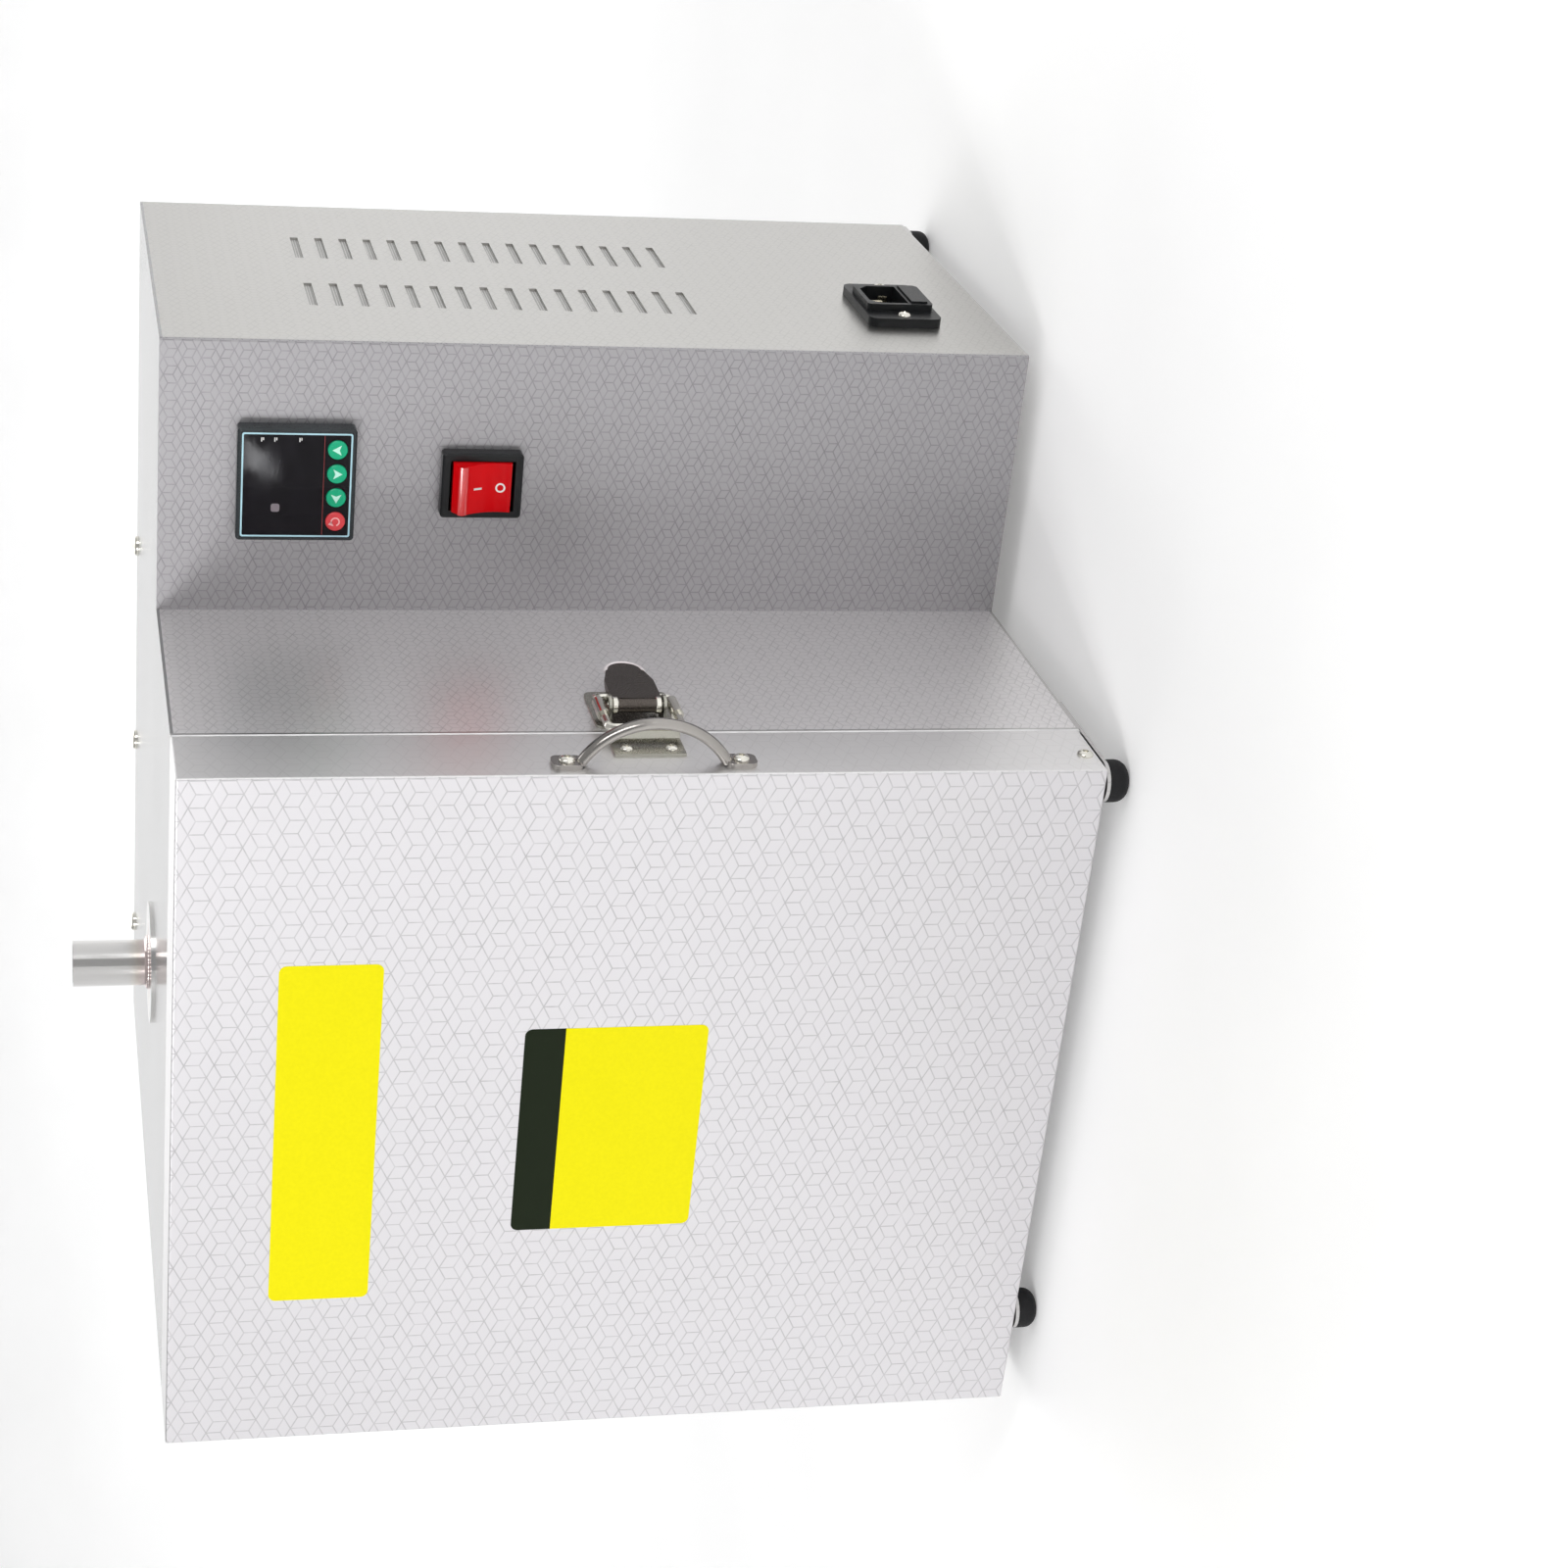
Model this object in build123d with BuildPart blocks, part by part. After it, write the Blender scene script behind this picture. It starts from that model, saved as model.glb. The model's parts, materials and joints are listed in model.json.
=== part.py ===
"""Bench-top burnout furnace: insulated box, swinging door with toggle latch, and control box.

Millimetres. The front faces -Y, +Z is up, and the origin is on the floor, at the middle of
the overall length and depth.
"""
from build123d import *
import os

os.makedirs("parts", exist_ok=True)

# Cabinet
sheet = 1.2              # thickness of every outer sheet
lip = 15.0               # folded lip, measured from the outer face
box_w = 304.0            # main box, left to right
box_h = 360.0            # main box and control box, bottom to top
depth = 355.0            # door front to back panel
door_t = 36.0            # door, front to back
seam_gap = 1.5           # between the door and the mouth frame
door_lift = 0.8          # door above the foot plates
ctrl_w = 116.0           # control box, left to right
ctrl_setback = 157.0     # door front to control box front
edge_r = 1.0             # outer radius of a folded edge

# Feet
foot_r = 8.5
foot_h = 9.0
foot_round = 5.0         # rounded lower rim
foot_plate_t = 1.5
foot_edge = 9.0          # foot centre to the nearest front, right or rear edge
foot_left_inset = 41.0   # foot centre to the left side
foot_plate_reach = 26.0  # front foot plate under the base

# Insulation
lining_t = 25.0          # rigid fibre board round the chamber
blanket_side_t = 27.0
blanket_top_t = 45.0
blanket_rear_t = 30.0
service_gap = 6.0        # rear blanket to the back panel's lips
blanket_gap = 0.5        # between blankets that lie side by side
mouth_reveal = 6.0       # lining edge seen inside the mouth frame
fold_gap = 0.6           # blanket to folded lips
hearth_t = 8.0
hearth_gap = 1.5

# Heating elements
loops = 3                # each goes out and back
pass_margin = 26.0       # floor or roof to the nearest pass
front_margin = 32.0
rear_margin = 16.0
coil_r = 3.5
coil_sides = 6          # flat sides of the tube that stands for the coil
tail_r = 2.0
groove_w = 9.0
groove_d = 8.0
bush_r = 5.0
bush_reach = 4.0         # bush beyond the rear blanket
clamp_w = 9.0            # square connector on each tail
clamp_l = 8.0
tail_end = 1.5           # tail beyond the clamp

# Flue and wax drain
flue_r = 10.0
flue_wall = 1.5
flue_h = 34.0            # above the top cover
liner_wall = 1.0         # thinner tube from the chamber roof to the outlet
flue_offset = -16.0      # from the chamber's middle
flange_r = 26.5
flange_t = 1.5
weld = 2.0
drain_r = 11.0
drain_wall = 1.5
drain_reach = 3.0        # below the base plate
slip = 0.15              # tube in its hole

# Thermocouple
probe_r = 3.0
probe_reach = 28.0       # into the chamber
probe_setback = 42.0     # behind the control box front
probe_head_r = 12.0
probe_head_l = 22.0
probe_cap_l = 6.0
probe_cap_rim = 1.5

# Door
plug_gap = 4.0           # plug to chamber wall
plug_entry = 18.0        # into the chamber
plug_taper = 5.0
core_inset = 10.0
frame_lip = 8.0
window_gap = 0.6         # plug to the door's inner frame
seal_t = 1.1
seal_w = 10.0

# Door handle
handle_edge = 9.0        # door front to the handle's middle
handle_span = 67.5       # pad to pad
handle_rise = 19.2
handle_bar_w = 5.8
handle_bar_t = 4.4
handle_pad_w = 9.0
handle_pad_l = 12.0
handle_pad_t = 2.0
handle_pad_clear = 3.2   # pad's middle to the bar's outer edge

# Hinges
hinge_l = 50.0
hinge_inset = 62.0       # hinge middle to the box's top or bottom
hinge_leaf_w = 24.0
hinge_leaf_t = 1.6
knuckle_r = 4.4
hinge_pin_r = 2.5
pin_play = 0.06
knuckle_count = 3
knuckle_gap = 0.4
hinge_axis_out = 5.0     # pin axis to the box's left side
leaf_clear = 3.9         # leaf edge to the pin axis beside the other leaf's knuckle
pin_cap_h = 1.5
pin_cap_r = 3.6

# Toggle latch, on the right side
latch_pivot_back = 48.0  # door front to the lever's pin
latch_axis_out = 6.5     # pin axis to the side panel
latch_throw = 7.0        # lever pin to pull pin
latch_plate_t = 1.2
latch_plate_start = 2.5  # plate behind the mouth frame's face
latch_plate_reach = 24.0  # plate behind the lever's pin
latch_plate_h = 33.2
latch_pin_r = 1.5
ear_r = 4.3
ear_gap = 0.35
lever_half = 9.9         # half width over the lever's cheeks
lever_web_out = 9.6      # outer face of the lever's web
lever_barrel_r = 2.9
lever_length = 34.0
pull_half = 14.6
pull_wire_r = 1.6
pull_sides = 8
pull_length = 27.0
sleeve_r = 2.5
sleeve_l = 12.5
catch_front = 15.5       # door front to the catch
catch_half = 14.0
catch_ridge = 4.4

# Temperature controller
ctl_size = 48.0
ctl_bezel_t = 7.0
ctl_body = 45.0
ctl_body_l = 72.0
ctl_right = 34.5         # case edge to the control box's outer side
ctl_top = 31.0           # case edge to the control box's top
ctl_face_t = 0.6
ctl_rim = 1.6
key_r = 4.0
key_play = 0.25
key_pitch = 10.25
key_drop = 16.2          # keys below the case's middle
key_proud = 0.7
key_l = 3.0
key_travel = 0.5

# Rocker switch
sw_w = 28.0
sw_h = 33.5
sw_bezel_t = 6.0
sw_body_w = 24.0
sw_body_h = 30.0
sw_body_l = 24.0
sw_well_w = 21.6
sw_well_h = 27.0
sw_well_d = 15.0
sw_down = 131.0          # switch middle below the box top
rocker_w = 21.0
rocker_pin_in = 2.0      # pivot behind the bezel's face
rocker_pin_r = 1.2
rocker_pin_l = 1.2
rocker_tilt = 13.0

# Mains inlet
inlet_w = 50.0
inlet_h = 32.0
inlet_flange_t = 4.0
inlet_block_w = 28.0
inlet_block_h = 29.0
inlet_block_t = 3.0
inlet_body_l = 22.0
inlet_setback = 60.0     # behind the control box front
inlet_up = 44.0          # above the base
socket_w = 24.0
socket_h = 16.4
socket_d = 16.0
socket_up = 4.4          # socket middle above the inlet's middle
socket_corner = 4.0
blade_w = 2.0
blade_h = 4.0
blade_span = 14.0
blade_l = 13.0
blade_tab = 8.0
earth_up = 4.0
fuse_w = 24.0
fuse_h = 7.6
fuse_proud = 0.8
fuse_l = 14.0

# Vents in the control box side
vent_rows = 16
vent_pitch = 10.7
vent_l = 31.0
vent_h = 3.4
vent_top = 65.0          # top slot below the box top
vent_first = 63.0        # front column behind the control box front
vent_second = 131.0

# Relay and its heatsink
sink_w = 60.0
sink_h = 80.0
sink_d = 32.0
sink_base_t = 4.0
fin_t = 1.8
fin_count = 7
sink_foot = 8.0
sink_front = 105.0       # behind the control box front
sink_up = 90.0
relay_w = 45.0
relay_h = 58.0
relay_t = 22.0

# Wires
wire_r = 1.3
wire_sides = 4
wire_bend = 9.0
wire_hole_r = 6.0
wire_hole_up = 200.0
wire_offset = 2.2        # each wire from the middle of the hole
wire_drop_a = 65.0       # wires that drop inside the control box, from its left side
wire_drop_b = 72.0
wire_loop = 14.0         # slack behind a terminal
ctl_terminal = 13.0      # controller terminals, from its middle

turn_share = 0.44        # bend radius of the element, as a share of the pitch
coil_seat = 0.6          # coil to the groove's bottom
seal_edge = 3.0          # seal to the mouth frame's window
latch_corner = 3.0
cheek_r = 3.1
cheek_l = 17.0
tab_half = 7.5
pull_corner = 3.0
sleeve_gap = 0.8
catch_rear = 3.0         # catch to the door's rear edge
catch_slack = 0.5        # pull bar to the ridge
ridge_w = 1.0
rocker_play = 0.3
sw_corner = 1.6
sw_tag_w = 6.3
sw_tag_t = 0.8
sw_tag_l = 8.0
sw_tag_pitch = 9.0
rocker_lip = 6.4         # pivot to the pressed edge, outward
rocker_lip_up = 10.5     # pivot to the pressed edge, upward
rocker_dish = 4.0
rocker_nose = 1.0
rocker_half = 13.0
rocker_root = 4.5
rocker_root_up = 11.5
fuse_wall = 1.2          # between the socket and the fuse drawer
fuse_gap = 0.3
inlet_corner = 4.0
fin_clear = 3.0          # inner fins to the wall
relay_base_t = 8.0
relay_step = 10.0
terminal_r = 4.0
terminal_h = 5.0

# Overall box and datum planes, from the sizes above
hinge_reach = hinge_axis_out + knuckle_r
inlet_reach = inlet_flange_t + inlet_block_t + fuse_proud
span_x = hinge_reach + box_w + ctrl_w + inlet_reach
span_y = depth
x_outer = span_x / 2 - inlet_reach
x_seam = x_outer - ctrl_w
x_left = x_seam - box_w
x_mid = (x_left + x_seam) / 2
y_front = -span_y / 2
y_door = y_front + door_t
y_body = y_door + seam_gap
y_ctrl = y_front + ctrl_setback
y_rear = y_front + depth
z_base = foot_h + foot_plate_t
z_top = z_base + box_h
z_mid = z_base + box_h / 2
y_in = y_body + sheet
clear = 2 * sheet + fold_gap
in_x0 = x_left + clear
in_x1 = x_seam - clear
in_z0 = z_base + clear
in_z1 = z_top - clear
ch_x0 = in_x0 + blanket_side_t + lining_t
ch_x1 = in_x1 - blanket_side_t - lining_t
ch_z0 = in_z0 + blanket_top_t + lining_t
ch_z1 = in_z1 - blanket_top_t - lining_t
y_service = y_rear - lip - service_gap
y_blanket = y_service - blanket_rear_t
y_chamber = y_blanket - lining_t
ch_w = ch_x1 - ch_x0
ch_h = ch_z1 - ch_z0
y_mid = (y_in + y_chamber) / 2
passes = 2 * loops
pitch = (ch_h - 2 * pass_margin) / (passes - 1)


def facing_front(x, y, z):
    """Sketch plane that looks forward: local x is +X and local y is +Z."""
    return Plane(origin=(x, y, z), x_dir=(1, 0, 0), z_dir=(0, -1, 0))


def facing_right(x, y, z):
    """Sketch plane that looks right: local x is +Y and local y is +Z."""
    return Plane(origin=(x, y, z), x_dir=(0, 1, 0), z_dir=(1, 0, 0))


def facing_left(x, y, z):
    """Sketch plane that looks left: local x is -Y and local y is +Z."""
    return Plane(origin=(x, y, z), x_dir=(0, -1, 0), z_dir=(-1, 0, 0))


def slab(x0, x1, y0, y1, z0, z1, mode=Mode.ADD):
    """Flat sheet, lip or board between two corners, added to the current part."""
    with BuildSketch(Plane.XY.offset(z0)) as outline:
        with Locations(((x0 + x1) / 2, (y0 + y1) / 2)):
            Rectangle(x1 - x0, y1 - y0)
    extrude(outline.sketch, amount=z1 - z0, mode=mode)


def finish(part, label):
    """Name a finished piece and write it out."""
    part.label = label
    export_step(part, f"parts/{label}.step")


def flat_panel(x0, x1, y0, z0):
    """Top or bottom sheet, between the front and back sheets."""
    slab(x0, x1, y0, y_rear - sheet, z0, z0 + sheet)


def side_sheet(face_x, inward, y0, lips_from):
    """Upright side with lips turned in along the top, bottom and rear."""
    inner_x = face_x + inward * sheet
    lip_x = face_x + inward * lip
    x0, x1 = sorted((face_x, inner_x))
    slab(x0, x1, y0, y_rear - sheet, z_base + sheet, z_top - sheet)
    x0, x1 = sorted((inner_x, lip_x))
    slab(x0, x1, y_rear - 2 * sheet, y_rear - sheet, z_base + 2 * sheet, z_top - 2 * sheet)
    for z0 in (z_base + sheet, z_top - 2 * sheet):
        slab(x0, x1, lips_from, y_rear - lip, z0, z0 + sheet)


def back_sheet(x0, x1):
    """Rear sheet with lips turned forward under the top sheet and over the base."""
    slab(x0, x1, y_rear - sheet, y_rear, z_base, z_top)
    for z0 in (z_base + sheet, z_top - 2 * sheet):
        slab(x0 + sheet, x1 - sheet, y_rear - lip, y_rear - sheet, z0, z0 + sheet)


def front_rim(x0, x1, y0):
    """Lips turned back all round a front sheet whose outer face is at y0."""
    width = x1 - x0
    with BuildSketch(facing_front((x0 + x1) / 2, y0 + lip, z_mid)) as rim:
        Rectangle(width - 2 * sheet, box_h - 2 * sheet)
        Rectangle(width - 4 * sheet, box_h - 4 * sheet, mode=Mode.SUBTRACT)
    extrude(rim.sketch, amount=lip - sheet)


def round_hole(plane, radius, through):
    """Cut a round hole of the given length from the plane, against its facing."""
    with BuildSketch(plane) as hole:
        Circle(radius)
    extrude(hole.sketch, amount=-through, mode=Mode.SUBTRACT)


def foot_plate(foot_x, foot_y, back_y):
    """Plate as wide as a foot, round over it and square at back_y."""
    with BuildSketch(Plane.XY.offset(foot_h)) as outline:
        with Locations((foot_x, foot_y)):
            Circle(foot_r)
        with Locations((foot_x, (foot_y + back_y) / 2)):
            Rectangle(2 * foot_r, back_y - foot_y)
    extrude(outline.sketch, amount=foot_plate_t)


# Main box sheets
foot_x_left = x_left + foot_left_inset
foot_x_right = x_seam - foot_edge
foot_y_front = y_front + foot_edge
foot_y_rear = y_rear - foot_edge
foot_places = [(foot_x_left, foot_y_front), (foot_x_right, foot_y_front),
               (foot_x_left, foot_y_rear), (x_outer - foot_edge, foot_y_rear)]

chamber_x = x_mid
flue_x = x_mid + flue_offset
flue_y = y_mid
liner_r = flue_r - flue_wall + liner_wall

with BuildPart() as base_plate:
    flat_panel(x_left, x_seam, y_in, z_base)
    for foot_x in (foot_x_left, foot_x_right):
        foot_plate(foot_x, foot_y_front, y_in + foot_plate_reach)
    foot_plate(foot_x_left, foot_y_rear, foot_y_rear + foot_r)
    round_hole(Plane.XY.offset(z_base + sheet).move(Location((chamber_x, y_mid, 0))),
               drain_r + slip, sheet)
finish(base_plate.part, "base_plate")

with BuildPart() as mouth_frame:
    with BuildSketch(facing_front(x_mid, y_in, z_mid)):
        Rectangle(box_w, box_h)
        with Locations((0, (ch_z0 + ch_z1) / 2 - z_mid)):
            Rectangle(ch_w + 2 * mouth_reveal, ch_h + 2 * mouth_reveal, mode=Mode.SUBTRACT)
    extrude(amount=sheet)
    front_rim(x_left, x_seam, y_body)
finish(mouth_frame.part, "mouth_frame")

hinge_z = [z_top - hinge_inset, z_base + hinge_inset]
hinge_y = y_door + seam_gap / 2
hinge_x = x_left - hinge_axis_out

latch_y = y_front + latch_pivot_back
latch_x = x_seam + latch_axis_out
pull_y = latch_y + latch_throw
latch_plate_y0 = y_body + latch_plate_start
latch_plate_y1 = latch_y + latch_plate_reach

with BuildPart() as left_side_panel:
    side_sheet(x_left, 1, y_in, y_body + lip)
finish(left_side_panel.part, "left_side_panel")

probe_y = y_ctrl + probe_setback
probe_z = ch_z0 + pass_margin + (loops + 0.5) * pitch
wire_hole_y = y_service + bush_reach + clamp_l / 2
wire_hole_z = z_base + wire_hole_up

with BuildPart() as right_side_panel:
    side_sheet(x_seam, -1, y_in, y_body + lip)
    round_hole(facing_right(x_seam, probe_y, probe_z), probe_r + slip, sheet)
    round_hole(facing_right(x_seam, wire_hole_y, wire_hole_z), wire_hole_r, sheet)
finish(right_side_panel.part, "right_side_panel")

with BuildPart() as top_cover:
    flat_panel(x_left, x_seam, y_in, z_top - sheet)
    round_hole(Plane(origin=(flue_x, flue_y, z_top)), liner_r + slip, sheet)
finish(top_cover.part, "top_cover")

with BuildPart() as back_panel:
    back_sheet(x_left, x_seam)
finish(back_panel.part, "back_panel")

# Control box sheets
ctl_x = x_outer - ctl_right - ctl_size / 2
ctl_z = z_top - ctl_top - ctl_size / 2
sw_x = ctl_x
sw_z = z_top - sw_down
inlet_y = y_ctrl + inlet_setback
inlet_z = z_base + inlet_up
cutout_play = 0.2
vent_columns = [y_ctrl + vent_first, y_ctrl + vent_second]
vent_mid_z = z_top - vent_top - (vent_rows - 1) * vent_pitch / 2

with BuildPart() as control_front_panel:
    with BuildSketch(facing_front((x_seam + x_outer) / 2, y_ctrl + sheet, z_mid)):
        Rectangle(ctrl_w, box_h)
    extrude(amount=sheet)
    outer_edge = control_front_panel.edges().filter_by(Axis.Z).group_by(Axis.X)[-1]
    fillet(outer_edge.sort_by(Axis.Y)[0], radius=min(edge_r, 0.8 * sheet))
    front_rim(x_seam, x_outer, y_ctrl)
    with BuildSketch(facing_front(ctl_x, y_ctrl, ctl_z)):
        Rectangle(ctl_body + 2 * cutout_play, ctl_body + 2 * cutout_play)
    extrude(amount=-sheet, mode=Mode.SUBTRACT)
    with BuildSketch(facing_front(sw_x, y_ctrl, sw_z)):
        Rectangle(sw_body_w + 2 * cutout_play, sw_body_h + 2 * cutout_play)
    extrude(amount=-sheet, mode=Mode.SUBTRACT)
finish(control_front_panel.part, "control_front_panel")

with BuildPart() as control_side_panel:
    side_sheet(x_outer, -1, y_ctrl + sheet, y_ctrl + lip)
    for column_y in vent_columns:
        with BuildSketch(facing_right(x_outer, column_y, vent_mid_z)):
            with GridLocations(vent_l, vent_pitch, 1, vent_rows):
                Rectangle(vent_l, vent_h)
        extrude(amount=-sheet, mode=Mode.SUBTRACT)
    with BuildSketch(facing_right(x_outer, inlet_y, inlet_z)):
        Rectangle(inlet_block_w + 2 * cutout_play, inlet_block_h + 2 * cutout_play)
    extrude(amount=-sheet, mode=Mode.SUBTRACT)
finish(control_side_panel.part, "control_side_panel")

with BuildPart() as control_top_panel:
    flat_panel(x_seam, x_outer, y_ctrl + sheet, z_top - sheet)
finish(control_top_panel.part, "control_top_panel")

with BuildPart() as control_base_panel:
    flat_panel(x_seam, x_outer, y_ctrl + sheet, z_base)
    foot_x, foot_y = foot_places[3]
    foot_plate(foot_x, foot_y, foot_y + foot_r)
finish(control_base_panel.part, "control_base_panel")

with BuildPart() as control_back_panel:
    back_sheet(x_seam, x_outer)
finish(control_back_panel.part, "control_back_panel")

with BuildPart() as rubber_feet:
    with BuildSketch():
        with Locations(*foot_places):
            Circle(foot_r)
    extrude(amount=foot_h)
    rims = rubber_feet.edges().filter_by(GeomType.CIRCLE).group_by(Axis.Z)[0]
    fillet(rims, radius=foot_round)
finish(rubber_feet.part, "rubber_feet")

# Heating elements: one route serves the groove and the tube that lies in it
pass_z = [ch_z0 + pass_margin + i * pitch for i in range(passes)]
turn_near = y_in + front_margin
turn_far = y_chamber - rear_margin
clamp_y0 = y_service + bush_reach
clamp_y1 = clamp_y0 + clamp_l
element_x = [ch_x0 - groove_d + coil_r + coil_seat, ch_x1 + groove_d - coil_r - coil_seat]
tails = [(x, z) for x in element_x for z in (pass_z[0], pass_z[-1])]
turn_r = turn_share * pitch


def element_route(tail_y):
    """Serpentine corners in (Y, Z), from the lowest tail to the highest one."""
    corners = []
    for index, z in enumerate(pass_z):
        ends = [turn_far, turn_near] if index % 2 == 0 else [turn_near, turn_far]
        corners += [(y, z) for y in ends]
    corners[0] = (tail_y, pass_z[0])
    corners[-1] = (tail_y, pass_z[-1])
    return corners


def grooved_board(face_x, facing):
    """Side board with the serpentine groove cut into its chamber face."""
    x0, x1 = sorted((face_x, face_x - facing * lining_t))
    slab(x0, x1, y_in, y_chamber, ch_z0, ch_z1)
    with BuildSketch(facing_right(face_x, 0, 0)) as groove:
        with BuildLine():
            FilletPolyline(*element_route(y_chamber), radius=turn_r)
        trace(line_width=groove_w)
    extrude(groove.sketch, amount=-facing * groove_d, mode=Mode.SUBTRACT)


def heating_element(x):
    """Coil wound along the serpentine, drawn as the tube it fills, with two plain tails."""
    with BuildLine(facing_right(x, 0, 0)) as route:
        FilletPolyline(*element_route(y_chamber), radius=turn_r)
    with BuildSketch(facing_front(x, y_chamber, pass_z[0])) as coil:
        RegularPolygon(coil_r, coil_sides)
    sweep(coil.sketch, path=route.line)
    for z in (pass_z[0], pass_z[-1]):
        with BuildSketch(facing_front(x, y_chamber, z)) as tail:
            Circle(tail_r)
        extrude(tail.sketch, amount=-(clamp_y1 + tail_end - y_chamber))


with BuildPart() as left_lining_board:
    grooved_board(ch_x0, 1)
finish(left_lining_board.part, "left_lining_board")

with BuildPart() as right_lining_board:
    grooved_board(ch_x1, -1)
    round_hole(facing_left(ch_x1, probe_y, probe_z), probe_r + slip, lining_t)
finish(right_lining_board.part, "right_lining_board")

with BuildPart() as roof_lining_board:
    slab(ch_x0 - lining_t, ch_x1 + lining_t, y_in, y_chamber, ch_z1, ch_z1 + lining_t)
    round_hole(Plane(origin=(flue_x, flue_y, ch_z1 + lining_t)), liner_r + slip, lining_t)
finish(roof_lining_board.part, "roof_lining_board")

with BuildPart() as floor_lining_board:
    slab(ch_x0 - lining_t, ch_x1 + lining_t, y_in, y_chamber, ch_z0 - lining_t, ch_z0)
    round_hole(Plane(origin=(chamber_x, y_mid, ch_z0)), drain_r + slip, lining_t)
finish(floor_lining_board.part, "floor_lining_board")

with BuildPart() as rear_lining_board:
    slab(ch_x0 - lining_t, ch_x1 + lining_t, y_chamber, y_blanket,
         ch_z0 - lining_t, ch_z1 + lining_t)
    for x, z in tails:
        round_hole(facing_front(x, y_chamber, z), bush_r + slip, lining_t)
finish(rear_lining_board.part, "rear_lining_board")

with BuildPart() as insulation_blankets:
    y_wrap = y_blanket - blanket_gap
    for x0, x1 in ((in_x0, ch_x0 - lining_t), (ch_x1 + lining_t, in_x1)):
        slab(x0, x1, y_in, y_wrap, ch_z0 - lining_t + blanket_gap,
             ch_z1 + lining_t - blanket_gap)
    for z0, z1 in ((in_z0, ch_z0 - lining_t), (ch_z1 + lining_t, in_z1)):
        slab(in_x0, in_x1, y_in, y_wrap, z0, z1)
    slab(in_x0, in_x1, y_blanket, y_service, in_z0, in_z1)
    round_hole(Plane(origin=(flue_x, flue_y, in_z1)), liner_r + slip, blanket_top_t)
    round_hole(Plane(origin=(chamber_x, y_mid, ch_z0 - lining_t)), drain_r + slip,
               blanket_top_t)
    round_hole(facing_left(ch_x1 + lining_t, probe_y, probe_z), probe_r + slip,
               blanket_side_t)
    for x, z in tails:
        round_hole(facing_front(x, y_blanket, z), bush_r + slip, blanket_rear_t)
finish(insulation_blankets.part, "insulation_blankets")

with BuildPart() as hearth_plate:
    slab(ch_x0 + hearth_gap, ch_x1 - hearth_gap, y_in + plug_entry + plug_gap,
         y_chamber - hearth_gap, ch_z0, ch_z0 + hearth_t)
    round_hole(Plane(origin=(chamber_x, y_mid, ch_z0 + hearth_t)), drain_r + slip, hearth_t)
finish(hearth_plate.part, "hearth_plate")

with BuildPart() as left_heating_element:
    heating_element(element_x[0])
finish(left_heating_element.part, "left_heating_element")

with BuildPart() as right_heating_element:
    heating_element(element_x[1])
finish(right_heating_element.part, "right_heating_element")

with BuildPart() as element_bushes:
    for x, z in tails:
        with BuildSketch(facing_front(x, y_chamber, z)):
            Circle(bush_r)
        extrude(amount=-(clamp_y0 - y_chamber))
        round_hole(facing_front(x, y_chamber, z), tail_r, clamp_y0 - y_chamber)
finish(element_bushes.part, "element_bushes")

with BuildPart() as element_clamps:
    for x, z in tails:
        with BuildSketch(facing_front(x, clamp_y0, z)):
            Rectangle(clamp_w, clamp_w)
        extrude(amount=-clamp_l)
        round_hole(facing_front(x, clamp_y0, z), tail_r, clamp_l)
finish(element_clamps.part, "element_clamps")

# Flue, drain and thermocouple
with BuildPart() as flue_liner:
    with BuildSketch(Plane(origin=(flue_x, flue_y, ch_z1))):
        Circle(liner_r)
        Circle(liner_r - liner_wall, mode=Mode.SUBTRACT)
    extrude(amount=z_top - ch_z1)
finish(flue_liner.part, "flue_liner")

with BuildPart() as flue_outlet:
    with BuildSketch(Plane(origin=(flue_x, flue_y, z_top), x_dir=(1, 0, 0), z_dir=(0, -1, 0))):
        with BuildLine():
            Polyline((flue_r - flue_wall, flue_h), (flue_r - flue_wall, 0), (flange_r, 0),
                     (flange_r, flange_t), (flue_r + weld, flange_t),
                     (flue_r, flange_t + weld), (flue_r, flue_h), close=True)
        make_face()
    revolve(axis=Axis((flue_x, flue_y, z_top), (0, 0, 1)))
finish(flue_outlet.part, "flue_outlet")

with BuildPart() as drain_tube:
    with BuildSketch(Plane(origin=(chamber_x, y_mid, z_base - drain_reach))):
        Circle(drain_r)
        Circle(drain_r - drain_wall, mode=Mode.SUBTRACT)
    extrude(amount=drain_reach + ch_z0 + hearth_t / 2 - z_base)
finish(drain_tube.part, "drain_tube")

with BuildPart() as thermocouple:
    with BuildSketch(facing_right(x_seam, probe_y, probe_z)):
        Circle(probe_r)
    extrude(amount=-(x_seam - ch_x1 + probe_reach))
    with BuildSketch(facing_right(x_seam, probe_y, probe_z)):
        Circle(probe_head_r)
    extrude(amount=probe_head_l)
    with BuildSketch(facing_right(x_seam + probe_head_l, probe_y, probe_z)):
        Circle(probe_head_r + probe_cap_rim)
    extrude(amount=probe_cap_l)
    tip = thermocouple.edges().filter_by(GeomType.CIRCLE).sort_by(Axis.X)[0]
    chamfer(tip, length=probe_r / 2)
finish(thermocouple.part, "thermocouple")

# Door
door_z0 = z_base + door_lift
door_mid_z = (door_z0 + z_top) / 2
plug_w = ch_w - 2 * plug_gap
plug_h = ch_h - 2 * plug_gap
plug_mid_z = (ch_z0 + ch_z1) / 2
handle_y = y_front + handle_edge
handle_ends = [z_mid + s * handle_span / 2 for s in (-1, 1)]

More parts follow.
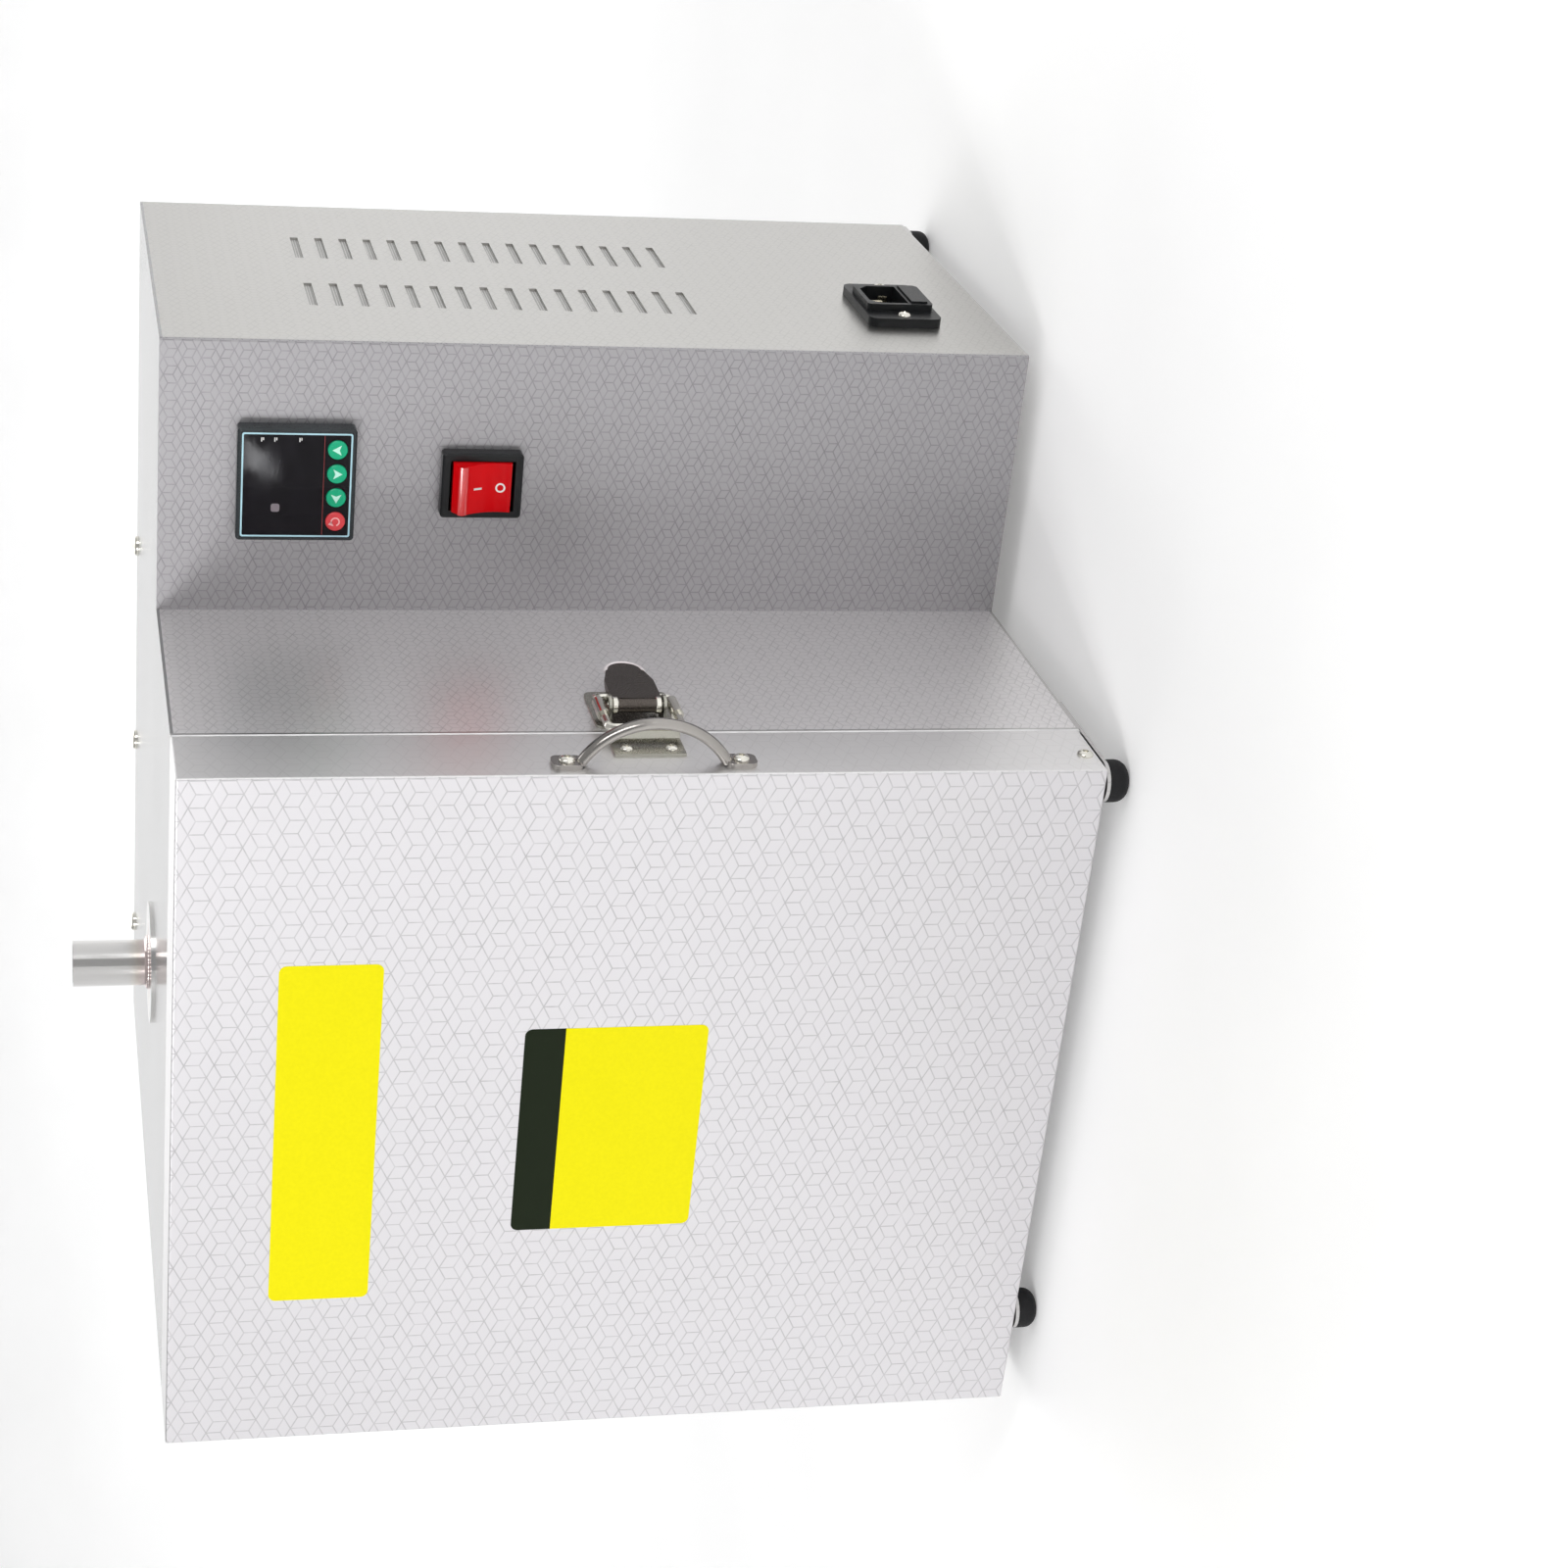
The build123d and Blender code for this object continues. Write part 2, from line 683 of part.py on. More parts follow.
with BuildPart() as door_shell:
    slab(x_left, x_seam, y_front, y_door, door_z0, z_top)
    front_face = door_shell.faces().sort_by(Axis.Y)[0]
    corner_edges = door_shell.edges().filter_by(Axis.Y)
    fillet(front_face.edges() + corner_edges, radius=min(edge_r, 0.8 * sheet))
    slab(x_left + sheet, x_seam - sheet, y_front + sheet, y_door, door_z0 + sheet,
         z_top - sheet, mode=Mode.SUBTRACT)
finish(door_shell.part, "door_shell")

with BuildPart() as door_inner_frame:
    with BuildSketch(facing_front(x_mid, y_door, door_mid_z)):
        Rectangle(box_w - 2 * sheet, z_top - door_z0 - 2 * sheet)
        with Locations((0, plug_mid_z - door_mid_z)):
            Rectangle(plug_w + 2 * window_gap, plug_h + 2 * window_gap, mode=Mode.SUBTRACT)
    extrude(amount=sheet)
    with BuildSketch(facing_front(x_mid, y_door - sheet, door_mid_z)):
        Rectangle(box_w - 2 * sheet, z_top - door_z0 - 2 * sheet)
        offset(amount=-sheet, kind=Kind.INTERSECTION, mode=Mode.SUBTRACT)
    extrude(amount=frame_lip - sheet)
finish(door_inner_frame.part, "door_inner_frame")

with BuildPart() as door_plug:
    slab(x_left + core_inset, x_seam - core_inset, y_front + sheet, y_door - sheet,
         door_z0 + core_inset, z_top - core_inset)
    slab(x_mid - plug_w / 2, x_mid + plug_w / 2, y_door - sheet, y_in,
         plug_mid_z - plug_h / 2, plug_mid_z + plug_h / 2)
    with BuildSketch(facing_front(x_mid, y_in, plug_mid_z)) as root:
        Rectangle(plug_w, plug_h)
    with BuildSketch(facing_front(x_mid, y_in + plug_entry, plug_mid_z)) as nose:
        Rectangle(plug_w - 2 * plug_taper, plug_h - 2 * plug_taper)
    loft([root.sketch, nose.sketch])
finish(door_plug.part, "door_plug")

seal_in_w = ch_w + 2 * (mouth_reveal + seal_edge)
seal_in_h = ch_h + 2 * (mouth_reveal + seal_edge)
with BuildPart() as door_gasket:
    with BuildSketch(facing_front(x_mid, y_door + seal_t, plug_mid_z)):
        RectangleRounded(seal_in_w + 2 * seal_w, seal_in_h + 2 * seal_w, seal_w)
        Rectangle(seal_in_w, seal_in_h, mode=Mode.SUBTRACT)
    extrude(amount=seal_t)
finish(door_gasket.part, "door_gasket")

# Handle: a bar bent to an arch, flattened to a pad at each end
arch_foot = handle_span / 2 - handle_pad_clear - handle_bar_t / 2
arch_low = x_seam + handle_pad_t / 2
arch_top = x_seam + handle_rise - handle_bar_t / 2
with BuildPart() as door_handle:
    with BuildLine() as arch:
        ThreePointArc((arch_low, handle_y, z_mid - arch_foot), (arch_top, handle_y, z_mid),
                      (arch_low, handle_y, z_mid + arch_foot))
    with BuildSketch(Plane(origin=arch.line @ 0, x_dir=(0, 1, 0), z_dir=arch.line % 0)):
        Ellipse(handle_bar_w / 2, handle_bar_t / 2)
    sweep(path=arch.line)
    for z in handle_ends:
        with BuildSketch(facing_right(x_seam, handle_y, z)):
            RectangleRounded(handle_pad_w, handle_pad_l, 0.3 * handle_pad_w)
        extrude(amount=handle_pad_t)
    slab(x_seam - handle_pad_l, x_seam, handle_y - handle_pad_w, handle_y + handle_pad_w,
         z_mid - handle_span, z_mid + handle_span, mode=Mode.SUBTRACT)
finish(door_handle.part, "door_handle")

# Hinges
knuckle_l = (hinge_l - (knuckle_count - 1) * knuckle_gap) / knuckle_count
knuckle_step = knuckle_l + knuckle_gap


def hinge_leaf(middle_z, side, first, bore_r):
    """Leaf on the left side with every second knuckle; side is 1 to the rear, -1 to the front."""
    low = middle_z - hinge_l / 2
    edge = hinge_y + side * leaf_clear
    far = hinge_y + side * hinge_leaf_w
    y0, y1 = sorted((edge, far))
    slab(x_left - hinge_leaf_t, x_left, y0, y1, low, low + hinge_l)
    y0, y1 = sorted((hinge_y, edge))
    for index in range(first, knuckle_count, 2):
        z0 = low + index * knuckle_step
        slab(x_left - hinge_leaf_t, x_left, y0, y1, z0, z0 + knuckle_l)
        with BuildSketch(Plane(origin=(hinge_x, hinge_y, z0))) as knuckle:
            Circle(knuckle_r)
        extrude(knuckle.sketch, amount=knuckle_l)
        round_hole(Plane(origin=(hinge_x, hinge_y, z0 + knuckle_l)), bore_r, knuckle_l)


with BuildPart() as hinge_body_leaves:
    for z in hinge_z:
        hinge_leaf(z, 1, 0, hinge_pin_r)
finish(hinge_body_leaves.part, "hinge_body_leaves")

with BuildPart() as hinge_door_leaves:
    for z in hinge_z:
        hinge_leaf(z, -1, 1, hinge_pin_r + pin_play)
finish(hinge_door_leaves.part, "hinge_door_leaves")

with BuildPart() as hinge_pins:
    cap_end = hinge_l / 2 + pin_cap_h
    for z in hinge_z:
        with BuildSketch(facing_front(hinge_x, hinge_y, z)):
            with BuildLine():
                Polyline((0, -cap_end), (pin_cap_r, -cap_end), (pin_cap_r, -hinge_l / 2),
                         (hinge_pin_r, -hinge_l / 2), (hinge_pin_r, hinge_l / 2),
                         (pin_cap_r, hinge_l / 2), (pin_cap_r, cap_end), (0, cap_end),
                         close=True)
            make_face()
        revolve(axis=Axis((hinge_x, hinge_y, z), (0, 0, 1)))
finish(hinge_pins.part, "hinge_pins")

# Toggle latch: base and lever on the body, catch on the door
latch_plate_mid = (latch_plate_y0 + latch_plate_y1) / 2
latch_plate_l = latch_plate_y1 - latch_plate_y0
cheek_in = lever_half - latch_plate_t
ear_in = lever_half + ear_gap

with BuildPart() as latch_base:
    with BuildSketch(facing_right(x_seam, latch_plate_mid, z_mid)):
        RectangleRounded(latch_plate_l, latch_plate_h, latch_corner)
    extrude(amount=latch_plate_t)
    for z0 in (z_mid - ear_in - latch_plate_t, z_mid + ear_in):
        with BuildSketch(Plane(origin=(x_seam, latch_y, z0))):
            with Locations((latch_axis_out / 2, 0)):
                Rectangle(latch_axis_out, 2 * ear_r)
            with Locations((latch_axis_out, 0)):
                Circle(ear_r)
        extrude(amount=latch_plate_t)
    round_hole(Plane(origin=(latch_x, latch_y, z_mid + pull_half)), latch_pin_r, 2 * pull_half)
finish(latch_base.part, "latch_base")

with BuildPart() as latch_base_pin:
    pin_half = ear_in + latch_plate_t + slip
    with BuildSketch(Plane(origin=(latch_x, latch_y, z_mid - pin_half))):
        Circle(latch_pin_r)
    extrude(amount=2 * pin_half)
finish(latch_base_pin.part, "latch_base_pin")

web_in = lever_web_out - latch_plate_t
with BuildPart() as latch_lever:
    for z0 in (z_mid - lever_half, z_mid + cheek_in):
        with BuildSketch(Plane(origin=(x_seam, latch_y, z0))):
            with Locations((latch_axis_out, 0), (latch_axis_out, latch_throw)):
                Circle(cheek_r)
            with BuildLine():
                Polyline((latch_axis_out - cheek_r, 0), (lever_web_out, 0),
                         (lever_web_out, cheek_l), (web_in, cheek_l),
                         (latch_axis_out - cheek_r, latch_throw), close=True)
            make_face()
        extrude(amount=latch_plate_t)
    with BuildSketch(facing_right(x_seam + web_in, latch_y, z_mid)):
        with BuildLine():
            Polyline((0, lever_half), (0, -lever_half), (cheek_l, -lever_half),
                     (lever_length - tab_half, -tab_half))
            ThreePointArc((lever_length - tab_half, -tab_half), (lever_length, 0),
                          (lever_length - tab_half, tab_half))
            Polyline((lever_length - tab_half, tab_half), (cheek_l, lever_half),
                     (0, lever_half))
        make_face()
    extrude(amount=latch_plate_t)
    with BuildSketch(Plane(origin=(latch_x, latch_y, z_mid - lever_half))):
        Circle(lever_barrel_r)
    extrude(amount=2 * lever_half)
    round_hole(Plane(origin=(latch_x, latch_y, z_mid + lever_half)),
               latch_pin_r + pin_play, 2 * lever_half)
    for z0 in (z_mid - cheek_in, z_mid + lever_half):
        round_hole(Plane(origin=(latch_x, pull_y, z0)), pull_wire_r + pin_play, latch_plate_t)
finish(latch_lever.part, "latch_lever")

with BuildPart() as latch_pull:
    bar_y = pull_y - pull_length
    stub = cheek_in - slip * 2
    with BuildLine() as wire_path:
        FilletPolyline((latch_x, pull_y, z_mid + stub), (latch_x, pull_y, z_mid + pull_half),
                       (latch_x, bar_y, z_mid + pull_half),
                       (latch_x, bar_y, z_mid - pull_half),
                       (latch_x, pull_y, z_mid - pull_half),
                       (latch_x, pull_y, z_mid - stub), radius=pull_corner)
    with BuildSketch(Plane(origin=wire_path.line @ 0, z_dir=wire_path.line % 0)):
        RegularPolygon(pull_wire_r, pull_sides)
    sweep(path=wire_path.line)
    for side in (-1, 1):
        with BuildSketch(facing_front(latch_x, pull_y - pull_corner - sleeve_gap,
                                      z_mid + side * pull_half)):
            Circle(sleeve_r)
        extrude(amount=sleeve_l)
finish(latch_pull.part, "latch_pull")

catch_y0 = y_front + catch_front
catch_y1 = y_door - catch_rear
ridge_y = pull_y - pull_length + pull_wire_r + catch_slack
with BuildPart() as latch_catch:
    with BuildSketch(Plane(origin=(x_seam, 0, z_mid - catch_half))):
        with BuildLine():
            Polyline((0, catch_y0), (latch_plate_t, catch_y0), (latch_plate_t, ridge_y - ridge_w))
            Polyline((latch_plate_t, ridge_y - ridge_w), (catch_ridge, ridge_y),
                     (catch_ridge, ridge_y + ridge_w), (latch_plate_t, ridge_y + 2 * ridge_w))
            Polyline((latch_plate_t, ridge_y + 2 * ridge_w), (latch_plate_t, catch_y1),
                     (0, catch_y1), (0, catch_y0))
        make_face()
    extrude(amount=2 * catch_half)
finish(latch_catch.part, "latch_catch")

# Temperature controller
bezel_y = y_ctrl - ctl_bezel_t
key_z = ctl_z - key_drop
key_x = [ctl_x + (i - 1.5) * key_pitch for i in range(4)]
key_well = key_l + key_travel + key_play
face_size = ctl_size - 2 * ctl_rim

with BuildPart() as controller_case:
    with BuildSketch(facing_front(ctl_x, y_ctrl, ctl_z)):
        RectangleRounded(ctl_size, ctl_size, ctl_rim)
    extrude(amount=ctl_bezel_t)
    front_rim_edges = controller_case.faces().sort_by(Axis.Y)[0].edges()
    chamfer(front_rim_edges, length=ctl_rim / 2)
    with BuildSketch(facing_front(ctl_x, y_ctrl, ctl_z)):
        Rectangle(ctl_body, ctl_body)
    extrude(amount=-ctl_body_l)
    with BuildSketch(facing_front(ctl_x, bezel_y, ctl_z)):
        Rectangle(face_size, face_size)
    extrude(amount=-ctl_face_t, mode=Mode.SUBTRACT)
    for x in key_x:
        round_hole(facing_front(x, bezel_y, key_z), key_r + key_play, key_well)
finish(controller_case.part, "controller_case")

with BuildPart() as controller_face:
    with BuildSketch(facing_front(ctl_x, bezel_y + ctl_face_t, ctl_z)):
        Rectangle(face_size, face_size)
        with Locations(*[(x - ctl_x, -key_drop) for x in key_x]):
            Circle(key_r + key_play, mode=Mode.SUBTRACT)
    extrude(amount=ctl_face_t)
finish(controller_face.part, "controller_face")


def controller_key(x):
    """Round push key, standing a little proud of the face."""
    with BuildSketch(facing_front(x, bezel_y + key_l, key_z)) as key:
        Circle(key_r)
    extrude(key.sketch, amount=key_l + key_proud)


with BuildPart() as controller_set_button:
    controller_key(key_x[0])
    chamfer(controller_set_button.edges().sort_by(Axis.Y)[0], length=key_proud / 2)
finish(controller_set_button.part, "controller_set_button")

with BuildPart() as controller_left_button:
    controller_key(key_x[1])
    chamfer(controller_left_button.edges().sort_by(Axis.Y)[0], length=key_proud / 2)
finish(controller_left_button.part, "controller_left_button")

with BuildPart() as controller_down_button:
    controller_key(key_x[2])
    chamfer(controller_down_button.edges().sort_by(Axis.Y)[0], length=key_proud / 2)
finish(controller_down_button.part, "controller_down_button")

with BuildPart() as controller_up_button:
    controller_key(key_x[3])
    chamfer(controller_up_button.edges().sort_by(Axis.Y)[0], length=key_proud / 2)
finish(controller_up_button.part, "controller_up_button")

# Rocker switch
sw_face_y = y_ctrl - sw_bezel_t
rocker_y = sw_face_y + rocker_pin_in
pin_hole = rocker_w / 2 + rocker_pin_l + rocker_play
with BuildPart() as switch_case:
    with BuildSketch(facing_front(sw_x, y_ctrl, sw_z)):
        RectangleRounded(sw_w, sw_h, sw_corner)
    extrude(amount=sw_bezel_t)
    chamfer(switch_case.faces().sort_by(Axis.Y)[0].edges(), length=sw_corner / 2)
    with BuildSketch(facing_front(sw_x, y_ctrl, sw_z)):
        Rectangle(sw_body_w, sw_body_h)
    extrude(amount=-sw_body_l)
    with BuildSketch(facing_front(sw_x, sw_face_y, sw_z)):
        Rectangle(sw_well_w, sw_well_h)
    extrude(amount=-sw_well_d, mode=Mode.SUBTRACT)
    with BuildSketch(facing_right(sw_x - pin_hole, rocker_y, sw_z)):
        Circle(rocker_pin_r + pin_play)
    extrude(amount=2 * pin_hole, mode=Mode.SUBTRACT)
    for up in (-1, 0, 1):
        slab(sw_x - sw_tag_w / 2, sw_x + sw_tag_w / 2, y_ctrl + sw_body_l,
             y_ctrl + sw_body_l + sw_tag_l, sw_z + up * sw_tag_pitch - sw_tag_t / 2,
             sw_z + up * sw_tag_pitch + sw_tag_t / 2)
finish(switch_case.part, "switch_case")

with BuildPart() as switch_rocker:
    with BuildSketch(facing_left(sw_x + rocker_w / 2, rocker_y, sw_z)):
        with BuildLine():
            ThreePointArc((rocker_lip, rocker_lip_up), (rocker_dish, 0),
                          (rocker_lip, -rocker_lip_up))
            Polyline((rocker_lip, -rocker_lip_up), (rocker_nose, -rocker_half),
                     (-rocker_root, -rocker_root_up), (-rocker_root, rocker_root_up),
                     (rocker_nose, rocker_half), (rocker_lip, rocker_lip_up))
        make_face()
    extrude(amount=rocker_w)
    with BuildSketch(facing_left(sw_x + rocker_w / 2 + rocker_pin_l, rocker_y, sw_z)):
        Circle(rocker_pin_r)
    extrude(amount=rocker_w + 2 * rocker_pin_l)
rocker_axis = Axis((sw_x, rocker_y, sw_z), (1, 0, 0))
tilted_rocker = switch_rocker.part.rotate(rocker_axis, rocker_tilt)
finish(tilted_rocker, "switch_rocker")

# Mains inlet with its fuse drawer
inlet_face = x_outer + inlet_flange_t + inlet_block_t
socket_z = inlet_z + socket_up
fuse_z = socket_z - socket_h / 2 - fuse_wall - fuse_h / 2
blade_places = [(-blade_span / 2, -earth_up / 2), (blade_span / 2, -earth_up / 2),
                (0, earth_up / 2)]
with BuildPart() as inlet_case:
    with BuildSketch(facing_right(x_outer, inlet_y, inlet_z)):
        RectangleRounded(inlet_w, inlet_h, inlet_corner)
    extrude(amount=inlet_flange_t)
    with BuildSketch(facing_right(x_outer, inlet_y, inlet_z)):
        RectangleRounded(inlet_block_w, inlet_block_h, inlet_corner / 2)
    extrude(amount=inlet_flange_t + inlet_block_t)
    with BuildSketch(facing_right(x_outer, inlet_y, inlet_z)):
        Rectangle(inlet_block_w, inlet_block_h)
    extrude(amount=-inlet_body_l)
    with BuildSketch(facing_right(inlet_face, inlet_y, socket_z)):
        with BuildLine():
            Polyline((-socket_w / 2, -socket_h / 2), (socket_w / 2, -socket_h / 2),
                     (socket_w / 2, socket_h / 2 - socket_corner),
                     (socket_w / 2 - socket_corner, socket_h / 2),
                     (socket_corner - socket_w / 2, socket_h / 2),
                     (-socket_w / 2, socket_h / 2 - socket_corner), close=True)
        make_face()
    extrude(amount=-socket_d, mode=Mode.SUBTRACT)
    slab(inlet_face - fuse_l - fuse_gap, inlet_face, inlet_y - fuse_w / 2,
         inlet_y + fuse_w / 2, fuse_z - fuse_h / 2, fuse_z + fuse_h / 2, mode=Mode.SUBTRACT)
    with BuildSketch(facing_right(x_outer - inlet_body_l, inlet_y, socket_z)):
        with Locations(*blade_places):
            Rectangle(blade_w, blade_h)
    extrude(amount=inlet_body_l, mode=Mode.SUBTRACT)
finish(inlet_case.part, "inlet_case")

with BuildPart() as inlet_pins:
    with BuildSketch(facing_right(x_outer - inlet_body_l - blade_tab, inlet_y, socket_z)):
        with Locations(*blade_places):
            Rectangle(blade_w, blade_h)
    extrude(amount=blade_tab + inlet_body_l + inlet_flange_t + inlet_block_t - socket_d + blade_l)
finish(inlet_pins.part, "inlet_pins")

with BuildPart() as fuse_drawer:
    slab(inlet_face - fuse_l, inlet_face + fuse_proud, inlet_y - fuse_w / 2 + fuse_gap,
         inlet_y + fuse_w / 2 - fuse_gap, fuse_z - fuse_h / 2 + fuse_gap,
         fuse_z + fuse_h / 2 - fuse_gap)
finish(fuse_drawer.part, "fuse_drawer")

# Relay and finned heatsink on the wall between the boxes
sink_y = y_ctrl + sink_front + sink_w / 2
sink_z = z_base + sink_up
fin_pitch = (sink_w - 2 * sink_foot - fin_t) / (fin_count - 1)
with BuildPart() as relay_heatsink:
    with BuildSketch(Plane(origin=(x_seam, sink_y, sink_z))):
        with Locations((sink_d - sink_base_t / 2, 0)):
            Rectangle(sink_base_t, sink_w - 2 * sink_foot)
        with Locations((sink_d / 2 + fin_clear / 2, 0)):
            with GridLocations(1, fin_pitch, 1, fin_count):
                Rectangle(sink_d - fin_clear, fin_t)
        for side in (-1, 1):
            with Locations((sink_d / 2, side * (fin_count - 1) * fin_pitch / 2)):
                Rectangle(sink_d, fin_t)
            with Locations((fin_t / 2, side * (sink_w - sink_foot - fin_t) / 2)):
                Rectangle(fin_t, sink_foot + fin_t)
    extrude(amount=sink_h)
finish(relay_heatsink.part, "relay_heatsink")

relay_x = x_seam + sink_d
relay_z = sink_z + sink_h / 2
with BuildPart() as solid_state_relay:
    with BuildSketch(facing_right(relay_x, sink_y, relay_z)):
        Rectangle(relay_w, relay_h)
    extrude(amount=relay_base_t)
    with BuildSketch(facing_right(relay_x + relay_base_t, sink_y, relay_z)):
        Rectangle(relay_w, relay_h - 2 * relay_step)
    extrude(amount=relay_t - relay_base_t)
    with BuildSketch(facing_right(relay_x + relay_base_t, sink_y, relay_z)):
        with GridLocations(relay_w - 2 * relay_step, relay_h - relay_step, 2, 2):
            Circle(terminal_r)
    extrude(amount=terminal_h)
finish(solid_state_relay.part, "solid_state_relay")

# Wires: inlet to switch, switch to controller and relay, relay to the elements and back
wire_mid = (clamp_y0 + clamp_y1) / 2
inlet_tab_x = x_outer - inlet_body_l - blade_tab
inlet_tab_z = socket_z - earth_up / 2
live_y = inlet_y - blade_span / 2
neutral_y = inlet_y + blade_span / 2
tag_y = y_ctrl + sw_body_l + sw_tag_l
ctl_rear = y_ctrl + ctl_body_l
terminal_x = relay_x + relay_base_t + terminal_h
terminal_y = [sink_y + s * (relay_w - 2 * relay_step) / 2 for s in (-1, 1)]
terminal_z = [relay_z + s * (relay_h - relay_step) / 2 for s in (-1, 1)]
drop_a = x_seam + wire_drop_a
drop_b = x_seam + wire_drop_b
clamp_z = pass_z[-1] - clamp_w / 2
probe_end = x_seam + probe_head_l + probe_cap_l
probe_turn = probe_end + wire_loop
loop_y = ctl_rear + wire_loop
wire_routes = [
    [(inlet_tab_x, live_y, inlet_tab_z), (sw_x, live_y, inlet_tab_z),
     (sw_x, live_y, sw_z - sw_tag_pitch), (sw_x, tag_y, sw_z - sw_tag_pitch)],
    [(sw_x, tag_y, sw_z + sw_tag_pitch), (sw_x, loop_y, sw_z + sw_tag_pitch),
     (sw_x, loop_y, ctl_z - ctl_terminal), (sw_x, ctl_rear, ctl_z - ctl_terminal)],
    [(sw_x, tag_y, sw_z), (sw_x, terminal_y[0], sw_z), (sw_x, terminal_y[0], terminal_z[0]),
     (terminal_x, terminal_y[0], terminal_z[0])],
    [(sw_x + ctl_terminal, ctl_rear, ctl_z), (sw_x + ctl_terminal, terminal_y[1], ctl_z),
     (sw_x + ctl_terminal, terminal_y[1], terminal_z[1]),
     (terminal_x, terminal_y[1], terminal_z[1])],
    [(terminal_x, terminal_y[1], terminal_z[0]), (drop_a, terminal_y[1], terminal_z[0]),
     (drop_a, wire_mid - wire_offset, wire_hole_z),
     (element_x[1], wire_mid - wire_offset, wire_hole_z),
     (element_x[1], wire_mid - wire_offset, clamp_z)],
    [(element_x[0], wire_mid + wire_offset, clamp_z),
     (element_x[0], wire_mid + wire_offset, wire_hole_z),
     (drop_b, wire_mid + wire_offset, wire_hole_z),
     (drop_b, wire_mid + wire_offset, inlet_tab_z), (drop_b, neutral_y, inlet_tab_z),
     (inlet_tab_x, neutral_y, inlet_tab_z)],
    [(probe_end, probe_y, probe_z), (probe_turn, probe_y, probe_z),
     (probe_turn, loop_y, probe_z), (probe_turn, loop_y, ctl_z),
     (probe_turn, ctl_rear, ctl_z)],
]
with BuildPart() as wiring:
    for corners in wire_routes:
        with BuildLine() as run:
            FilletPolyline(*corners, radius=wire_bend)
        with BuildSketch(Plane(origin=run.line @ 0, z_dir=run.line % 0)):
            RegularPolygon(wire_r, wire_sides)
        sweep(path=run.line)
    with BuildSketch(facing_right(element_x[0] + clamp_w / 2, wire_mid, pass_z[0])):
        Circle(wire_r)
    extrude(amount=element_x[1] - element_x[0] - clamp_w)
finish(wiring.part, "wiring")
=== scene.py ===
"""Looks of the burnout furnace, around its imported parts. Metres, in the parts' own frame."""
import json
import math

import bmesh
import bpy
from mathutils import Matrix, Vector
from mathutils.bvhtree import BVHTree


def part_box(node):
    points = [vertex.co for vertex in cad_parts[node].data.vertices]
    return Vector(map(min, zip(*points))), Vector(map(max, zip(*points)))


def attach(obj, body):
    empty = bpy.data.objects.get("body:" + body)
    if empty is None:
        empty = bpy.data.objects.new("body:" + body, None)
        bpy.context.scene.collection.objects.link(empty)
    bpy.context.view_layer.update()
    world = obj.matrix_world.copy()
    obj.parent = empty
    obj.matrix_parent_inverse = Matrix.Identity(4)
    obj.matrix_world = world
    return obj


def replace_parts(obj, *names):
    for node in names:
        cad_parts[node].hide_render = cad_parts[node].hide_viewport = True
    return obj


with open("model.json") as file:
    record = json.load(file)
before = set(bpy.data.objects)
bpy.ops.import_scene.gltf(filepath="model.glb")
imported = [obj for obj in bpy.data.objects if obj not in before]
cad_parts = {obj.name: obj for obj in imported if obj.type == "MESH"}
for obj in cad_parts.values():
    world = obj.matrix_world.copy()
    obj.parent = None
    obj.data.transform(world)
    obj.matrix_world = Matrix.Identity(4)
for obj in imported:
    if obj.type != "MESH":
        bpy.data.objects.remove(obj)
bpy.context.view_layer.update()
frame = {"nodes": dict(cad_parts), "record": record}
MM = 0.001
NODES = frame["nodes"]


def middle(a, b):
    """Halfway between two numbers."""
    return (a + b) / 2


# Reference planes of the cabinet, from the parts themselves
X_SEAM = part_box("right_side_panel")[1].x
X_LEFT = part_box("left_side_panel")[0].x
X_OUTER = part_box("control_side_panel")[1].x
Y_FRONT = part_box("door_shell")[0].y
Y_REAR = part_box("back_panel")[1].y
Z_BASE, Z_TOP = (c.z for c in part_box("mouth_frame"))
Z_MID = middle(Z_BASE, Z_TOP)


